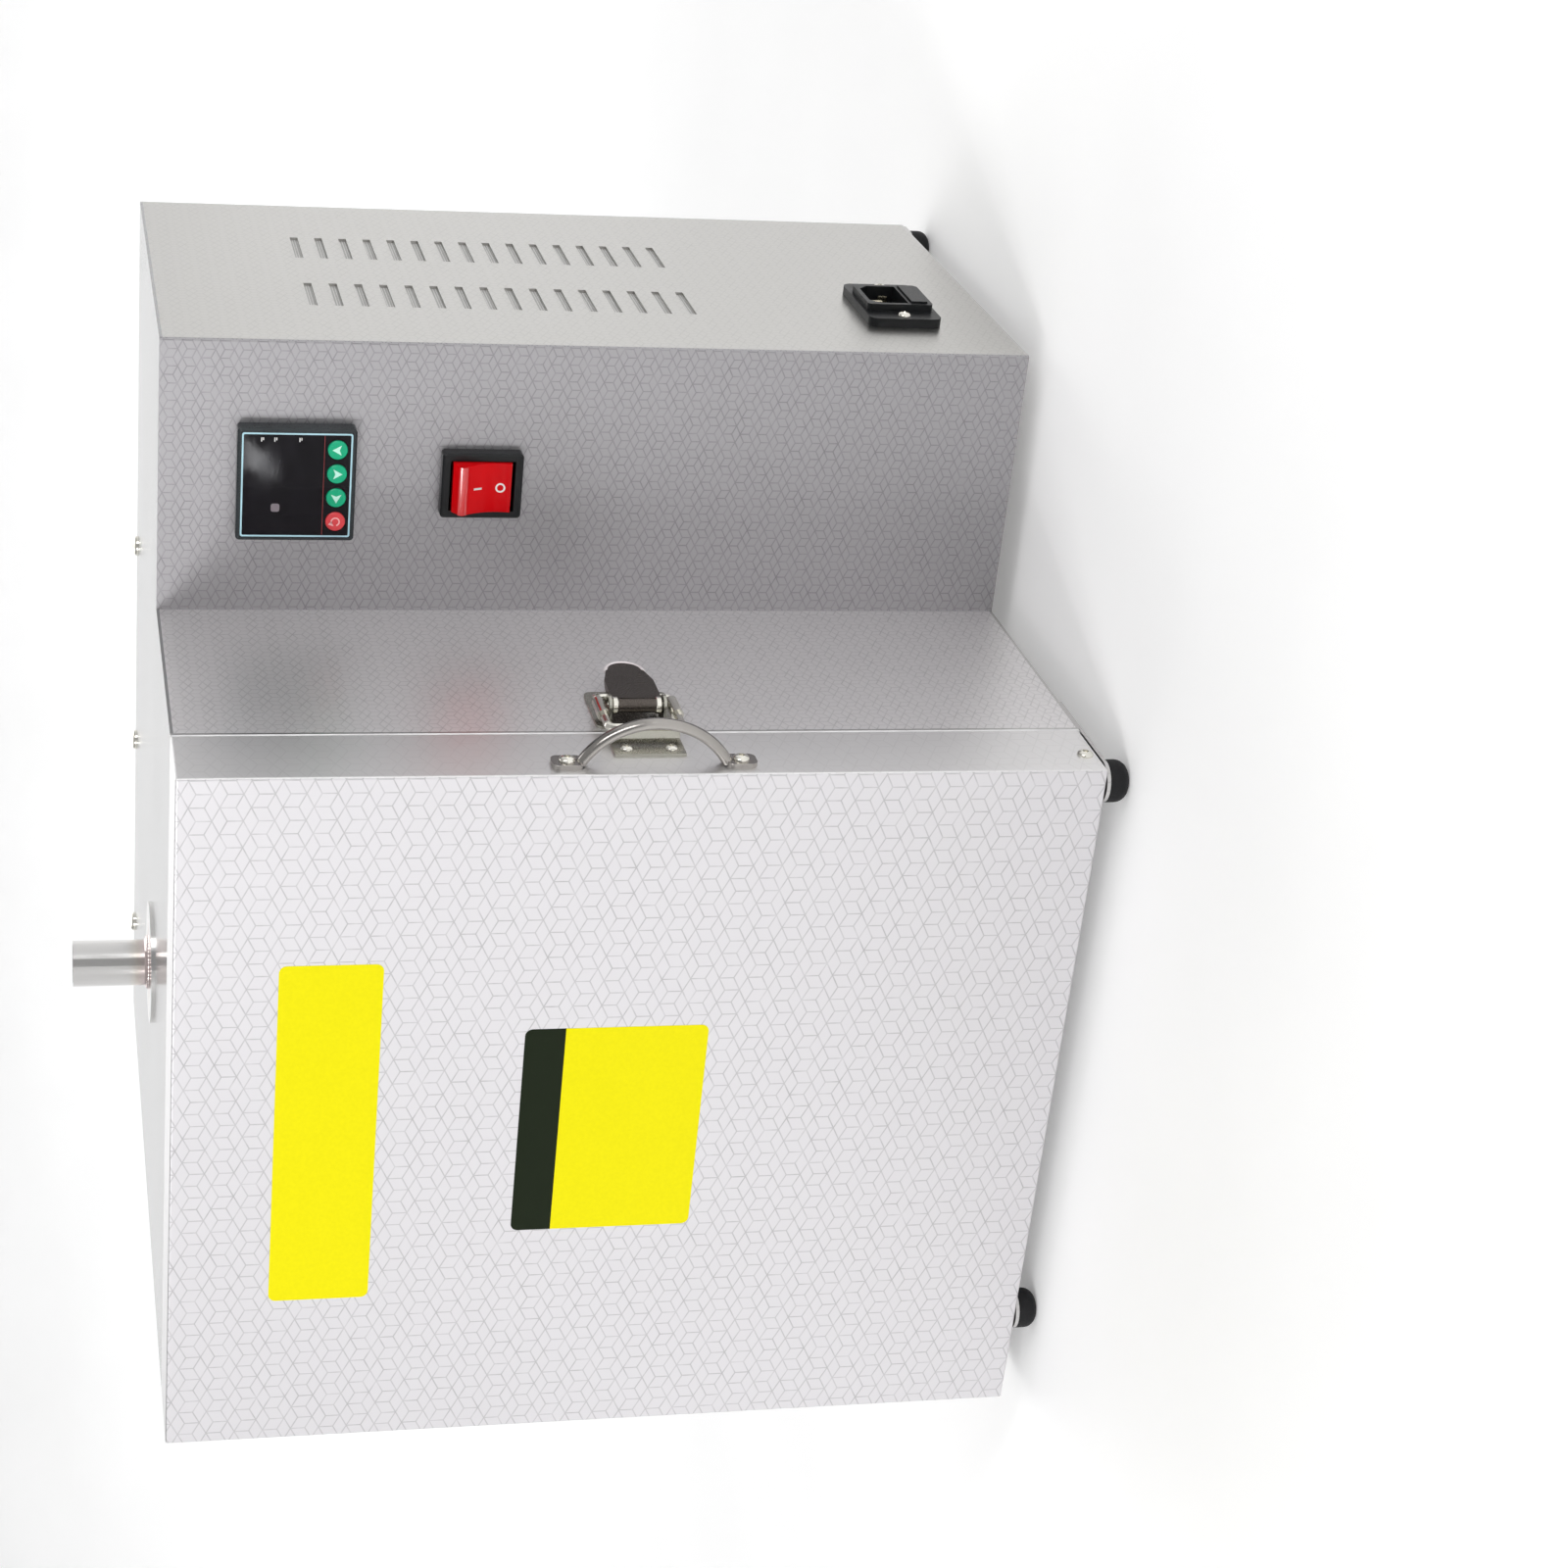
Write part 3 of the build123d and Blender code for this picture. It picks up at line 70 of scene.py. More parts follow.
# Materials
class Paint:
    """A node material built in code. Sockets and plain numbers mix freely."""

    def __init__(self, name):
        self.material = bpy.data.materials.new(name)
        self.material.use_nodes = True
        self.tree = self.material.node_tree
        self.tree.nodes.clear()
        self.shader = self.node("ShaderNodeBsdfPrincipled")
        out = self.node("ShaderNodeOutputMaterial")
        self.tree.links.new(self.shader.outputs["BSDF"], out.inputs["Surface"])
        self.place = self.node("ShaderNodeTexCoord").outputs["Object"]

    def node(self, kind, **settings):
        n = self.tree.nodes.new(kind)
        for k, v in settings.items():
            setattr(n, k, v)
        return n

    def feed(self, socket, value):
        """Links a socket to value, or sets it where value is a plain one."""
        if isinstance(value, bpy.types.NodeSocket):
            self.tree.links.new(value, socket)
        else:
            socket.default_value = value

    def math(self, operation, *values):
        n = self.node("ShaderNodeMath", operation=operation)
        for socket, v in zip(n.inputs, values):
            self.feed(socket, v)
        return n.outputs[0]

    def step(self, value, edge, soft):
        """1 where value is under edge, falling to 0 over soft."""
        n = self.node("ShaderNodeMapRange", interpolation_type="SMOOTHSTEP")
        self.feed(n.inputs["Value"], value)
        self.feed(n.inputs["From Min"], edge - soft)
        self.feed(n.inputs["From Max"], edge + soft)
        self.feed(n.inputs["To Min"], 1.0)
        self.feed(n.inputs["To Max"], 0.0)
        return n.outputs[0]

    def range(self, value, a, b, to_a, to_b):
        """Maps a to to_a and b to to_b, and stays at them beyond."""
        n = self.node("ShaderNodeMapRange")
        for key, v in zip(("Value", "From Min", "From Max", "To Min", "To Max"),
                          (value, a, b, to_a, to_b)):
            self.feed(n.inputs[key], v)
        return n.outputs[0]

    def mix(self, factor, a, b):
        """Blends two numbers."""
        n = self.node("ShaderNodeMix", data_type="FLOAT")
        self.feed(n.inputs[0], factor)
        self.feed(n.inputs[2], a)
        self.feed(n.inputs[3], b)
        return n.outputs[0]

    def tint(self, factor, a, b):
        """Blends two colours."""
        n = self.node("ShaderNodeMix", data_type="RGBA")
        self.feed(n.inputs[0], factor)
        self.feed(n.inputs[6], a)
        self.feed(n.inputs[7], b)
        return n.outputs[2]

    def split(self, vector):
        n = self.node("ShaderNodeSeparateXYZ")
        self.feed(n.inputs[0], vector)
        return n.outputs

    def join(self, x, y, z):
        n = self.node("ShaderNodeCombineXYZ")
        for socket, v in zip(n.inputs, (x, y, z)):
            self.feed(socket, v)
        return n.outputs[0]

    def noise(self, scale, detail, rough=0.55, at=None, stretch=(1, 1, 1)):
        m = self.node("ShaderNodeMapping")
        self.feed(m.inputs["Vector"], at or self.place)
        m.inputs["Scale"].default_value = stretch
        n = self.node("ShaderNodeTexNoise")
        self.feed(n.inputs["Vector"], m.outputs[0])
        n.inputs["Scale"].default_value = scale
        n.inputs["Detail"].default_value = detail
        n.inputs["Roughness"].default_value = rough
        return n.outputs["Fac"]

    def cells(self, scale):
        n = self.node("ShaderNodeTexVoronoi")
        self.feed(n.inputs["Vector"], self.place)
        n.inputs["Scale"].default_value = scale
        return n.outputs["Distance"]

    def bump(self, height, strength, distance):
        n = self.node("ShaderNodeBump")
        n.inputs["Strength"].default_value = strength
        n.inputs["Distance"].default_value = distance
        self.feed(n.inputs["Height"], height)
        self.tree.links.new(n.outputs[0], self.shader.inputs["Normal"])

    def set(self, **values):
        """Sets the shader's sockets by name, with _ for a space."""
        for key, v in values.items():
            if isinstance(v, tuple) and len(v) == 3:
                v = (*v, 1.0)
            self.feed(self.shader.inputs[key.replace("_", " ")], v)


# Block pattern of the sheets: half a block's width on the door and elsewhere, and its line
DOOR_BLOCK, BODY_BLOCK, PATTERN_LINE = 5.53 * MM, 3.56 * MM, 0.42 * MM


def sheet_plane(p):
    """Two coordinates that lie in a sheet's own plane, whichever way the sheet faces."""
    x, y, z = p.split(p.place)
    normal = p.split(p.node("ShaderNodeTexCoord").outputs["Normal"])
    side, front, flat = (p.math("GREATER_THAN", p.math("ABSOLUTE", n), 0.7) for n in normal)
    return p.mix(side, x, y), p.mix(flat, z, y), front, flat


def block_lines(p, u, v, half, width):
    """Line pattern of stacked blocks: upright strokes between zigzags, and diamonds above."""
    rise, upright = 0.506 * half, 1.07 * half
    square_on = 0.89        # a slanted line's distance, for a distance along v
    row = upright + 2 * rise
    wave = p.math("PINGPONG", u, half)
    peak = p.math("MULTIPLY", wave, rise / half)
    level = p.math("FLOORED_MODULO", p.math("SUBTRACT", v, peak), row)
    low = p.math("MINIMUM", level, p.math("SUBTRACT", row, level))
    high = p.math("ABSOLUTE", p.math("SUBTRACT", level, upright))
    crossing = p.math("ABSOLUTE", p.math("SUBTRACT", level, p.math(
        "SUBTRACT", row, p.math("MULTIPLY", peak, 2.0))))
    slanted = p.math("MULTIPLY", p.math("MINIMUM", p.math("MINIMUM", low, high), crossing),
                     square_on)
    stroke = p.math("MINIMUM", wave, p.math("SUBTRACT", half, wave))
    outside = p.math("MULTIPLY", p.math("GREATER_THAN", level, upright), half)
    nearest = p.math("MINIMUM", slanted, p.math("ADD", stroke, outside))
    return p.step(nearest, width / 2, width / 2)


def sheet_steel(name, tone, rough, half, depth, grain=0.05, painted_side_light=None, painted_top_shade=None,
                metal=1.0):
    """Brushed stainless sheet with the faint block pattern. Its front may be less metallic; its
    sides and top may take painted light and shade.
    """
    p = Paint(name)
    u, v, front, flat = sheet_plane(p)
    lines = block_lines(p, u, v, half, PATTERN_LINE)
    colour = (*tone, 1)
    if painted_side_light:
        # Tone by which way the face looks: painted light on the sides, painted shade on the top.
        colour = p.tint(flat, p.tint(front, (*painted_side_light, 1), colour), (*painted_top_shade, 1))
        metal = p.mix(front, 1.0, metal)
        depth = p.mix(front, 0.25 * depth, depth)
    laid = p.join(u, v, 0.0)
    streak = p.noise(1.0, 2.0, 0.6, laid, (2600, 45, 1))
    cloud = p.noise(1.0, 3.0, 0.5, laid, (9, 9, 1))
    worn = p.noise(1.0, 2.0, 0.5, laid, (140, 140, 1))
    lit = p.math("ADD", p.math("MULTIPLY", p.math("SUBTRACT", streak, 0.5), grain),
                 p.math("MULTIPLY", p.math("SUBTRACT", cloud, 0.5), 0.05))
    shade = p.math("MULTIPLY", p.math("ADD", lit, 1.0),
                   p.math("SUBTRACT", 1.0, p.math("MULTIPLY", lines, p.math(
                       "MULTIPLY", p.math("MULTIPLY", worn, 2.0), depth))))
    dark = (0, 0, 0, 1)
    p.set(Base_Color=p.tint(shade, dark, colour), Metallic=metal,
          Roughness=p.math("ADD", rough, p.math("MULTIPLY", p.math(
              "SUBTRACT", cloud, 0.5), 0.06)))
    p.bump(p.math("ADD", p.math("MULTIPLY", streak, 0.4), p.math("MULTIPLY", lines, -0.5)),
           0.12, 0.0002)
    return p.material


def bright_steel(name, tone, rough):
    """Polished fittings with fine scratches and a little tarnish."""
    p = Paint(name)
    scratch = p.noise(900, 2.0, 0.6, stretch=(1, 1, 6))
    stain = p.noise(70, 4.0, 0.6)
    p.set(Base_Color=p.tint(p.range(stain, 0.35, 0.75, 0.0, 0.35), (*tone, 1),
                            tuple(0.72 * c for c in tone) + (1,)),
          Metallic=1.0, Roughness=p.range(scratch, 0.3, 0.7, rough - 0.04, rough + 0.08))
    p.bump(scratch, 0.05, 0.0002)
    return p.material


def flue_steel(name, axis_x, axis_y, foot):
    """Drawn tube, tinted by heat round the weld."""
    p = Paint(name)
    x, y, z = p.split(p.place)
    away = p.math("SQRT", p.math("ADD", p.math("POWER", p.math("SUBTRACT", x, axis_x), 2.0),
                                 p.math("POWER", p.math("SUBTRACT", y, axis_y), 2.0)))
    reach = p.math("ADD", away, p.math("MAXIMUM", p.math("SUBTRACT", z, foot), 0.0))
    wander = p.math("MULTIPLY", p.noise(120, 3.0), 0.004)
    band = p.range(p.math("ADD", reach, wander), 0.0125, 0.0215, 0.0, 1.0)
    ramp = p.node("ShaderNodeValToRGB")
    p.feed(ramp.inputs[0], band)
    stops = ((0.0, (0.82, 0.70, 0.67)), (0.25, (0.76, 0.66, 0.65)), (0.45, (0.72, 0.65, 0.60)),
             (0.7, (0.74, 0.71, 0.67)), (1.0, (0.76, 0.75, 0.74)))
    e = ramp.color_ramp.elements
    while len(e) < len(stops):
        e.new(0.5)
    for item, (at, colour) in zip(e, stops):
        item.position = at
        item.color = (*colour, 1)
    scratch = p.noise(700, 2.0, 0.6, stretch=(1, 1, 0.05))
    p.set(Base_Color=ramp.outputs[0], Metallic=1.0,
          Roughness=p.range(scratch, 0.3, 0.7, 0.10, 0.18))
    p.bump(scratch, 0.05, 0.0002)
    return p.material


def fibre(name, tone, coarse=1.0, weave=False):
    """Ceramic fibre: pressed board, blanket, or woven tape."""
    p = Paint(name)
    tuft = p.noise(420 / coarse, 5.0, 0.7)
    lump = p.noise(60 / coarse, 4.0, 0.6)
    hair = p.noise(900 / coarse, 2.0, 0.5, stretch=(1, 0.15, 1))
    height = p.math("ADD", p.math("MULTIPLY", tuft, 0.6), p.math("MULTIPLY", lump, 0.4))
    if weave:
        x, _, z = p.split(p.place)
        a = p.math("SINE", p.math("MULTIPLY", p.math("ADD", x, z), 4200))
        b = p.math("SINE", p.math("MULTIPLY", p.math("SUBTRACT", x, z), 4200))
        height = p.math("ADD", p.math("MULTIPLY", p.math("MULTIPLY", a, b), 0.5), height)
    low = tuple(0.86 * c for c in tone)
    p.set(Base_Color=p.tint(p.range(p.math("ADD", lump, p.math("MULTIPLY", hair, 0.4)),
                                    0.5, 0.9, 0.0, 1.0), (*low, 1), (*tone, 1)),
          Roughness=0.95)
    p.shader.inputs["Sheen Weight"].default_value = 0.25
    p.bump(height, 0.55, 0.0006 * coarse)
    return p.material


def ceramic(name, tone):
    """Fired refractory with grog specks."""
    p = Paint(name)
    speck = p.step(p.cells(650), 0.18, 0.08)
    lump = p.noise(160, 4.0, 0.6)
    base = p.tint(p.range(lump, 0.35, 0.7, 0.0, 1.0), (*[0.88 * c for c in tone], 1), (*tone, 1))
    p.set(Base_Color=p.tint(p.math("MULTIPLY", speck, 0.5), base, (0.42, 0.34, 0.26, 1)),
          Roughness=0.78)
    p.bump(p.math("ADD", lump, p.math("MULTIPLY", speck, -0.5)), 0.35, 0.0004)
    return p.material


def moulded(name, tone, rough, grain, gloss=0.5):
    """Moulded plastic or rubber with a fine eroded skin."""
    p = Paint(name)
    skin = p.noise(1500, 3.0, 0.6)
    mark = p.noise(90, 3.0, 0.5)
    p.set(Base_Color=p.tint(p.range(mark, 0.3, 0.7, 0.0, 1.0), (*[0.85 * c for c in tone], 1),
                            (*[min(1, 1.15 * c) for c in tone], 1)),
          Roughness=p.range(skin, 0.3, 0.7, rough - 0.05, rough + 0.07))
    p.shader.inputs["Specular IOR Level"].default_value = gloss
    p.bump(skin, grain, 0.00015)
    return p.material


def rocker_plastic(name, foot, top, gloss=0.12, coat=0.0):
    """Clear red moulding, painted lighter towards its top for the light falling from above."""
    p = Paint(name)
    z = p.split(p.place)[2]
    # Painted light: the red brightens with height, for the light on the rocker's top.
    up = p.range(z, foot, top, 0.0, 1.0)
    rib = p.math("SINE", p.math("MULTIPLY", z, 5200))
    soft = p.noise(130, 3.0)
    p.set(Base_Color=p.tint(p.math("ADD", p.math("MULTIPLY", up, 0.6), p.math(
              "MULTIPLY", soft, 0.4)), (0.50, 0.001, 0.004, 1), (0.74, 0.003, 0.006, 1)),
          Roughness=p.range(soft, 0.3, 0.7, 0.10, 0.16))
    p.shader.inputs["Coat Weight"].default_value = coat
    p.shader.inputs["Coat Roughness"].default_value = 0.05
    p.shader.inputs["Specular IOR Level"].default_value = gloss
    p.bump(rib, 0.03, 0.0001)
    return p.material


def window(name):
    """Dark tinted window of the controller, with a faint haze."""
    p = Paint(name)
    haze = p.noise(90, 3.0, 0.5, stretch=(1, 1, 2.2))
    p.set(Base_Color=p.tint(p.range(haze, 0.45, 0.75, 0.0, 1.0), (0.003, 0.002, 0.004, 1),
                            (0.006, 0.005, 0.008, 1)),
          Roughness=p.range(haze, 0.3, 0.7, 0.03, 0.06))
    p.shader.inputs["Specular IOR Level"].default_value = 0.22
    p.bump(haze, 0.02, 0.0003)
    return p.material


def vinyl(name, tone):
    """Printed vinyl sheet under a clear laminate, with a slight ripple."""
    p = Paint(name)
    ripple = p.noise(28, 2.0, 0.4)
    ink = p.noise(700, 2.0, 0.5)
    p.set(Base_Color=p.tint(p.range(ink, 0.3, 0.7, 0.0, 1.0), (*[0.96 * c for c in tone], 1),
                            (*tone, 1)),
          Roughness=p.range(ink, 0.3, 0.7, 0.30, 0.38))
    p.shader.inputs["Specular IOR Level"].default_value = 0.08
    p.bump(ripple, 0.10, 0.0006)
    return p.material


def coil_alloy(name):
    """Oxidised resistance wire, grey with brown bands."""
    p = Paint(name)
    along = p.noise(45, 3.0, 0.6)
    scale = p.noise(1400, 3.0, 0.7)
    p.set(Base_Color=p.tint(p.range(along, 0.35, 0.65, 0.0, 1.0), (0.17, 0.155, 0.15, 1),
                            (0.30, 0.24, 0.20, 1)),
          Metallic=0.75, Roughness=p.range(scale, 0.3, 0.7, 0.42, 0.62))
    p.bump(scale, 0.2, 0.0001)
    return p.material


def sleeving(name):
    """Braided glass sleeve over a wire."""
    p = Paint(name)
    x, y, z = p.split(p.place)
    a = p.math("SINE", p.math("MULTIPLY", p.math("ADD", p.math("ADD", x, y), z), 5200))
    b = p.math("SINE", p.math("MULTIPLY", p.math("SUBTRACT", p.math("ADD", x, y), z), 5200))
    braid = p.math("MULTIPLY", a, b)
    p.set(Base_Color=p.tint(p.range(braid, -1.0, 1.0, 0.0, 1.0), (0.58, 0.54, 0.44, 1),
                            (0.86, 0.83, 0.74, 1)), Roughness=0.8)
    p.bump(braid, 0.4, 0.0003)
    return p.material


def wire_cloth(name, pitch):
    """Fine woven wire cloth: light wires, with painted shade in the openings between them."""
    p = Paint(name)
    _, y, z = p.split(p.place)
    wires = [p.math("SINE", p.math("MULTIPLY", v, 2 * math.pi / pitch)) for v in (y, z)]
    weave = p.range(p.math("MAXIMUM", *wires), 0.2, 0.6, 0.0, 1.0)
    # The dark tone in the openings is painted shade of the inside seen through the cloth.
    p.set(Base_Color=p.tint(weave, (0.24, 0.24, 0.23, 1), (0.60, 0.59, 0.58, 1)), Roughness=0.5)
    p.bump(weave, 0.3, 0.0002)
    return p.material


# Finishes, and the pieces that wear them
flue_lo, flue_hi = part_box("flue_outlet")
flue_x, flue_y = middle(flue_lo.x, flue_hi.x), middle(flue_lo.y, flue_hi.y)
FLANGE_T = 1.5 * MM
flange_top = Z_TOP + FLANGE_T
rocker_lo, rocker_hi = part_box("switch_rocker")

# The door's front is a less metallic finish; its sides are painted lighter and its top darker, for
# light and shade.
door_sheet = sheet_steel("door_sheet", (0.71, 0.695, 0.715), 0.40, DOOR_BLOCK, 0.27, 0.02,
                         (0.86, 0.85, 0.85), (0.64, 0.635, 0.64), 0.6)
control_sheet = sheet_steel("control_sheet", (0.41, 0.40, 0.415), 0.42, BODY_BLOCK, 0.24)
side_sheet = sheet_steel("side_sheet", (0.84, 0.82, 0.825), 0.36, BODY_BLOCK, 0.19, metal=0.75)
body_sheet = sheet_steel("body_sheet", (0.60, 0.59, 0.585), 0.30, BODY_BLOCK, 0.10)
vent_sheet = sheet_steel("vent_sheet", (0.58, 0.57, 0.55), 0.30, BODY_BLOCK, 0.10)
top_sheet = sheet_steel("top_sheet", (0.36, 0.36, 0.365), 0.13, BODY_BLOCK, 0.05, metal=0.55)
fitting = bright_steel("fitting", (0.83, 0.81, 0.74), 0.13)
# The handle's dark tone is painted dark reflection of the surroundings on polished steel.
pull_bar = bright_steel("pull_bar", (0.40, 0.38, 0.36), 0.14)
# The latch's plates: a brownish plated tone, darkened further as painted dark reflection of the
# surroundings.
nickel_dark_reflection = bright_steel("nickel_dark_reflection", (0.44, 0.43, 0.38), 0.22)
dark_fitting = bright_steel("dark_fitting", (0.11, 0.095, 0.085), 0.25)
flue_finish = flue_steel("flue_finish", flue_x, flue_y, flange_top)
board = fibre("board", (0.78, 0.765, 0.72))
blanket = fibre("blanket", (0.84, 0.83, 0.80), 2.4)
tape = fibre("tape", (0.80, 0.78, 0.70), weave=True)
cordierite = ceramic("cordierite", (0.80, 0.72, 0.58))
porcelain = ceramic("porcelain", (0.88, 0.86, 0.80))
rubber = moulded("rubber", (0.010, 0.010, 0.011), 0.62, 0.25, 0.25)
black_case = moulded("black_case", (0.011, 0.012, 0.013), 0.34, 0.15, 0.25)
grey_bezel = moulded("grey_bezel", (0.026, 0.031, 0.034), 0.30, 0.15, 0.30)
green_key = moulded("green_key", (0.004, 0.40, 0.20), 0.22, 0.05, 0.3)
red_key = moulded("red_key", (0.70, 0.06, 0.07), 0.22, 0.05, 0.3)
fins = bright_steel("fins", (0.60, 0.61, 0.62), 0.36)
brass = bright_steel("brass", (0.78, 0.72, 0.52), 0.22)
rocker_red = rocker_plastic("rocker_red", rocker_lo.z, rocker_hi.z)
rocker_gloss = rocker_plastic("rocker_gloss", rocker_lo.z, rocker_hi.z, 1.0, 1.0)
window_dark = window("window_dark")
yellow = vinyl("yellow", (0.84, 0.76, 0.004))
black_print = vinyl("black_print", (0.012, 0.018, 0.008))
coil_wire = coil_alloy("coil_wire")
sleeve = sleeving("sleeve")
white_ink = moulded("white_ink", (0.78, 0.78, 0.76), 0.4, 0.05)
pale_line = moulded("pale_line", (0.42, 0.66, 0.74), 0.35, 0.05)
red_line = moulded("red_line", (0.30, 0.03, 0.03), 0.35, 0.05)
segment = moulded("segment", (0.010, 0.008, 0.011), 0.3, 0.05, 0.2)
# Near white: painted highlight of the mouth's folded edge.
painted_rim_highlight = moulded("painted_rim_highlight", (0.90, 0.89, 0.90), 0.45, 0.1)
screen_cloth = wire_cloth("screen_cloth", 1.1 * MM)
pale_tip = moulded("pale_tip", (0.78, 0.72, 0.73), 0.3, 0.05)
# Grey of a square painted reflection on the controller's window.
painted_spot_reflection = moulded("painted_spot_reflection", (0.20, 0.17, 0.19), 0.3, 0.05)
mint_ink = moulded("mint_ink", (0.52, 0.88, 0.74), 0.35, 0.05)
rose_ink = moulded("rose_ink", (0.90, 0.42, 0.42), 0.35, 0.05)

FINISH = {
    "brushed_sheet": body_sheet, "bright_steel": fitting, "white_fibre": board,
    "coil_alloy": coil_wire, "fired_ceramic": porcelain, "black_rubber": rubber,
    "finned_aluminium": fins, "tinned_brass": brass, "black_plastic": black_case,
    "dark_window": window_dark, "red_plastic": red_key, "green_plastic": green_key,
    "wire_sleeve": sleeve,
}
OWN_FINISH = {
    "door_shell": door_sheet, "control_front_panel": control_sheet,
    "control_side_panel": vent_sheet, "control_top_panel": top_sheet, "top_cover": top_sheet,
    "flue_outlet": flue_finish, "insulation_blankets": blanket, "door_gasket": tape,
    "hearth_plate": cordierite, "controller_case": grey_bezel, "switch_rocker": rocker_red,
    "latch_base": nickel_dark_reflection, "latch_catch": nickel_dark_reflection, "latch_lever": dark_fitting,
    "door_handle": pull_bar, "right_side_panel": side_sheet,
    "left_side_panel": side_sheet,
}
for part in frame["record"]["subparts"]:
    mesh_object = NODES[part["node"]]
    finish = OWN_FINISH.get(part["node"], FINISH[part["material_slot"]])
    if not mesh_object.material_slots:
        mesh_object.data.materials.append(finish)
    for holder in mesh_object.material_slots:
        holder.material = finish


# Mesh tools
def piece(name, bm, finish, body, smooth_angle=35):
    """Turns a bmesh into a piece that rides on a body."""
    bmesh.ops.recalc_face_normals(bm, faces=bm.faces)
    mesh = bpy.data.meshes.new(name)
    bm.to_mesh(mesh)
    bm.free()
    for f in mesh.polygons:
        f.use_smooth = True
    mesh.set_sharp_from_angle(angle=math.radians(smooth_angle))
    mesh.materials.append(finish)
    obj = bpy.data.objects.new(name, mesh)
    bpy.context.scene.collection.objects.link(obj)
    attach(obj, body)
    return obj


def on_front(name, bm, x, y, z, finish, body):
    """Stands a flat shape on a face that looks forwards: its height comes towards the viewer."""
    bm.transform(Matrix(((1, 0, 0, x), (0, 0, -1, y), (0, 1, 0, z), (0, 0, 0, 1))))
    piece(name, bm, finish, body)


def stand(origin, outward, turn=0.0):
    """Matrix that stands a shape's +Z along outward at origin, turned about it."""
    q = Vector(outward).to_track_quat("Z", "Y")
    return Matrix.Translation(origin) @ q.to_matrix().to_4x4() @ Matrix.Rotation(
        math.radians(turn), 4, "Z")


def lathe(profile, sides):
    """Solid of revolution about +Z. profile is (radius, height) from axis to axis."""
    bm = bmesh.new()
    rings = []
    for r, z in profile:
        if r < 1e-9:
            rings.append([bm.verts.new((0, 0, z))])
        else:
            rings.append([bm.verts.new((r * math.cos(2 * math.pi * i / sides),
                                        r * math.sin(2 * math.pi * i / sides), z))
                          for i in range(sides)])
    for a, b in zip(rings, rings[1:]):
        for i in range(sides):
            j = (i + 1) % sides
            quad = [a[i % len(a)], a[j % len(a)], b[j % len(b)], b[i % len(b)]]
            bm.faces.new(list(dict.fromkeys(quad)))
    return bm


def prism(points, depth, lift=0.0):
    """Closed outline in local XY, raised from lift to lift + depth."""
    bm = bmesh.new()
    low = [bm.verts.new((x, y, lift)) for x, y in points]
    high = [bm.verts.new((x, y, lift + depth)) for x, y in points]
    bm.faces.new(low[::-1])
    bm.faces.new(high)
    for i in range(len(points)):
        j = (i + 1) % len(points)
        bm.faces.new((low[i], low[j], high[j], high[i]))
    return bm


def ring_prism(outer, inner, depth, lift):
    """Flat frame between two outlines of the same number of points."""
    bm = bmesh.new()
    loops = [[bm.verts.new((x, y, z)) for x, y in pts]
             for pts, z in ((outer, lift), (outer, lift + depth), (inner, lift + depth),
                            (inner, lift))]
    for a, b in zip(loops, loops[1:] + loops[:1]):
        for i in range(len(a)):
            j = (i + 1) % len(a)
            bm.faces.new((a[i], a[j], b[j], b[i]))
    return bm


def round_rect(w, h, r, steps=6):
    """Outline of a rectangle about the origin, with rounded corners."""
    pts = []
    for sx, sy, start in ((1, 1, 0), (-1, 1, 90), (-1, -1, 180), (1, -1, 270)):
        for i in range(steps + 1):
            a = math.radians(start + 90 * i / steps)
            pts.append((sx * (w / 2 - r) + r * math.cos(a), sy * (h / 2 - r) + r * math.sin(a)))
    return pts


def circle(r, steps, cx=0.0, cy=0.0, start=0.0, sweep=360.0):
    """Points of a circle, or of an arc of it with both its ends."""
    return [(cx + r * math.cos(math.radians(start + sweep * i / steps)),
             cy + r * math.sin(math.radians(start + sweep * i / steps)))
            for i in range(steps if sweep == 360 else steps + 1)]


def gather(shapes):
    """One bmesh from (bmesh, matrix) pairs. The pairs' meshes are kept."""
    out = bmesh.new()
    for shape, matrix in shapes:
        seen = {}
        for v in shape.verts:
            seen[v] = out.verts.new(matrix @ v.co)
        for f in shape.faces:
            out.faces.new([seen[v] for v in f.verts])
    return out


def carved(body_bm, cutter_bm):
    """Body with the cutter taken out of it, as a new bmesh."""
    made = []
    for bm in (body_bm, cutter_bm):
        bmesh.ops.recalc_face_normals(bm, faces=bm.faces)
        mesh = bpy.data.meshes.new("temp")
        bm.to_mesh(mesh)
        bm.free()
        obj = bpy.data.objects.new("temp", mesh)
        bpy.context.scene.collection.objects.link(obj)
        made.append(obj)
    cut = made[0].modifiers.new("cut", "BOOLEAN")
    cut.operation, cut.object, cut.solver = "DIFFERENCE", made[1], "EXACT"
    result = bpy.data.meshes.new_from_object(
        made[0].evaluated_get(bpy.context.evaluated_depsgraph_get()))
    out = bmesh.new()
    out.from_mesh(result)
    for obj in made:
        mesh = obj.data
        bpy.data.objects.remove(obj)
        bpy.data.meshes.remove(mesh)
    bpy.data.meshes.remove(result)
    return out


# Fasteners
def dome(radius, height, steps=7):
    """Low dome profile with a short straight rim."""
    rim = 0.18 * height
    pts = [(0.0, 0.0), (radius, 0.0), (radius, rim)]
    for i in range(1, steps):
        a = math.pi / 2 * i / steps
        pts.append((radius * math.cos(a), rim + (height - rim) * math.sin(a)))
    return pts + [(0.0, height)]


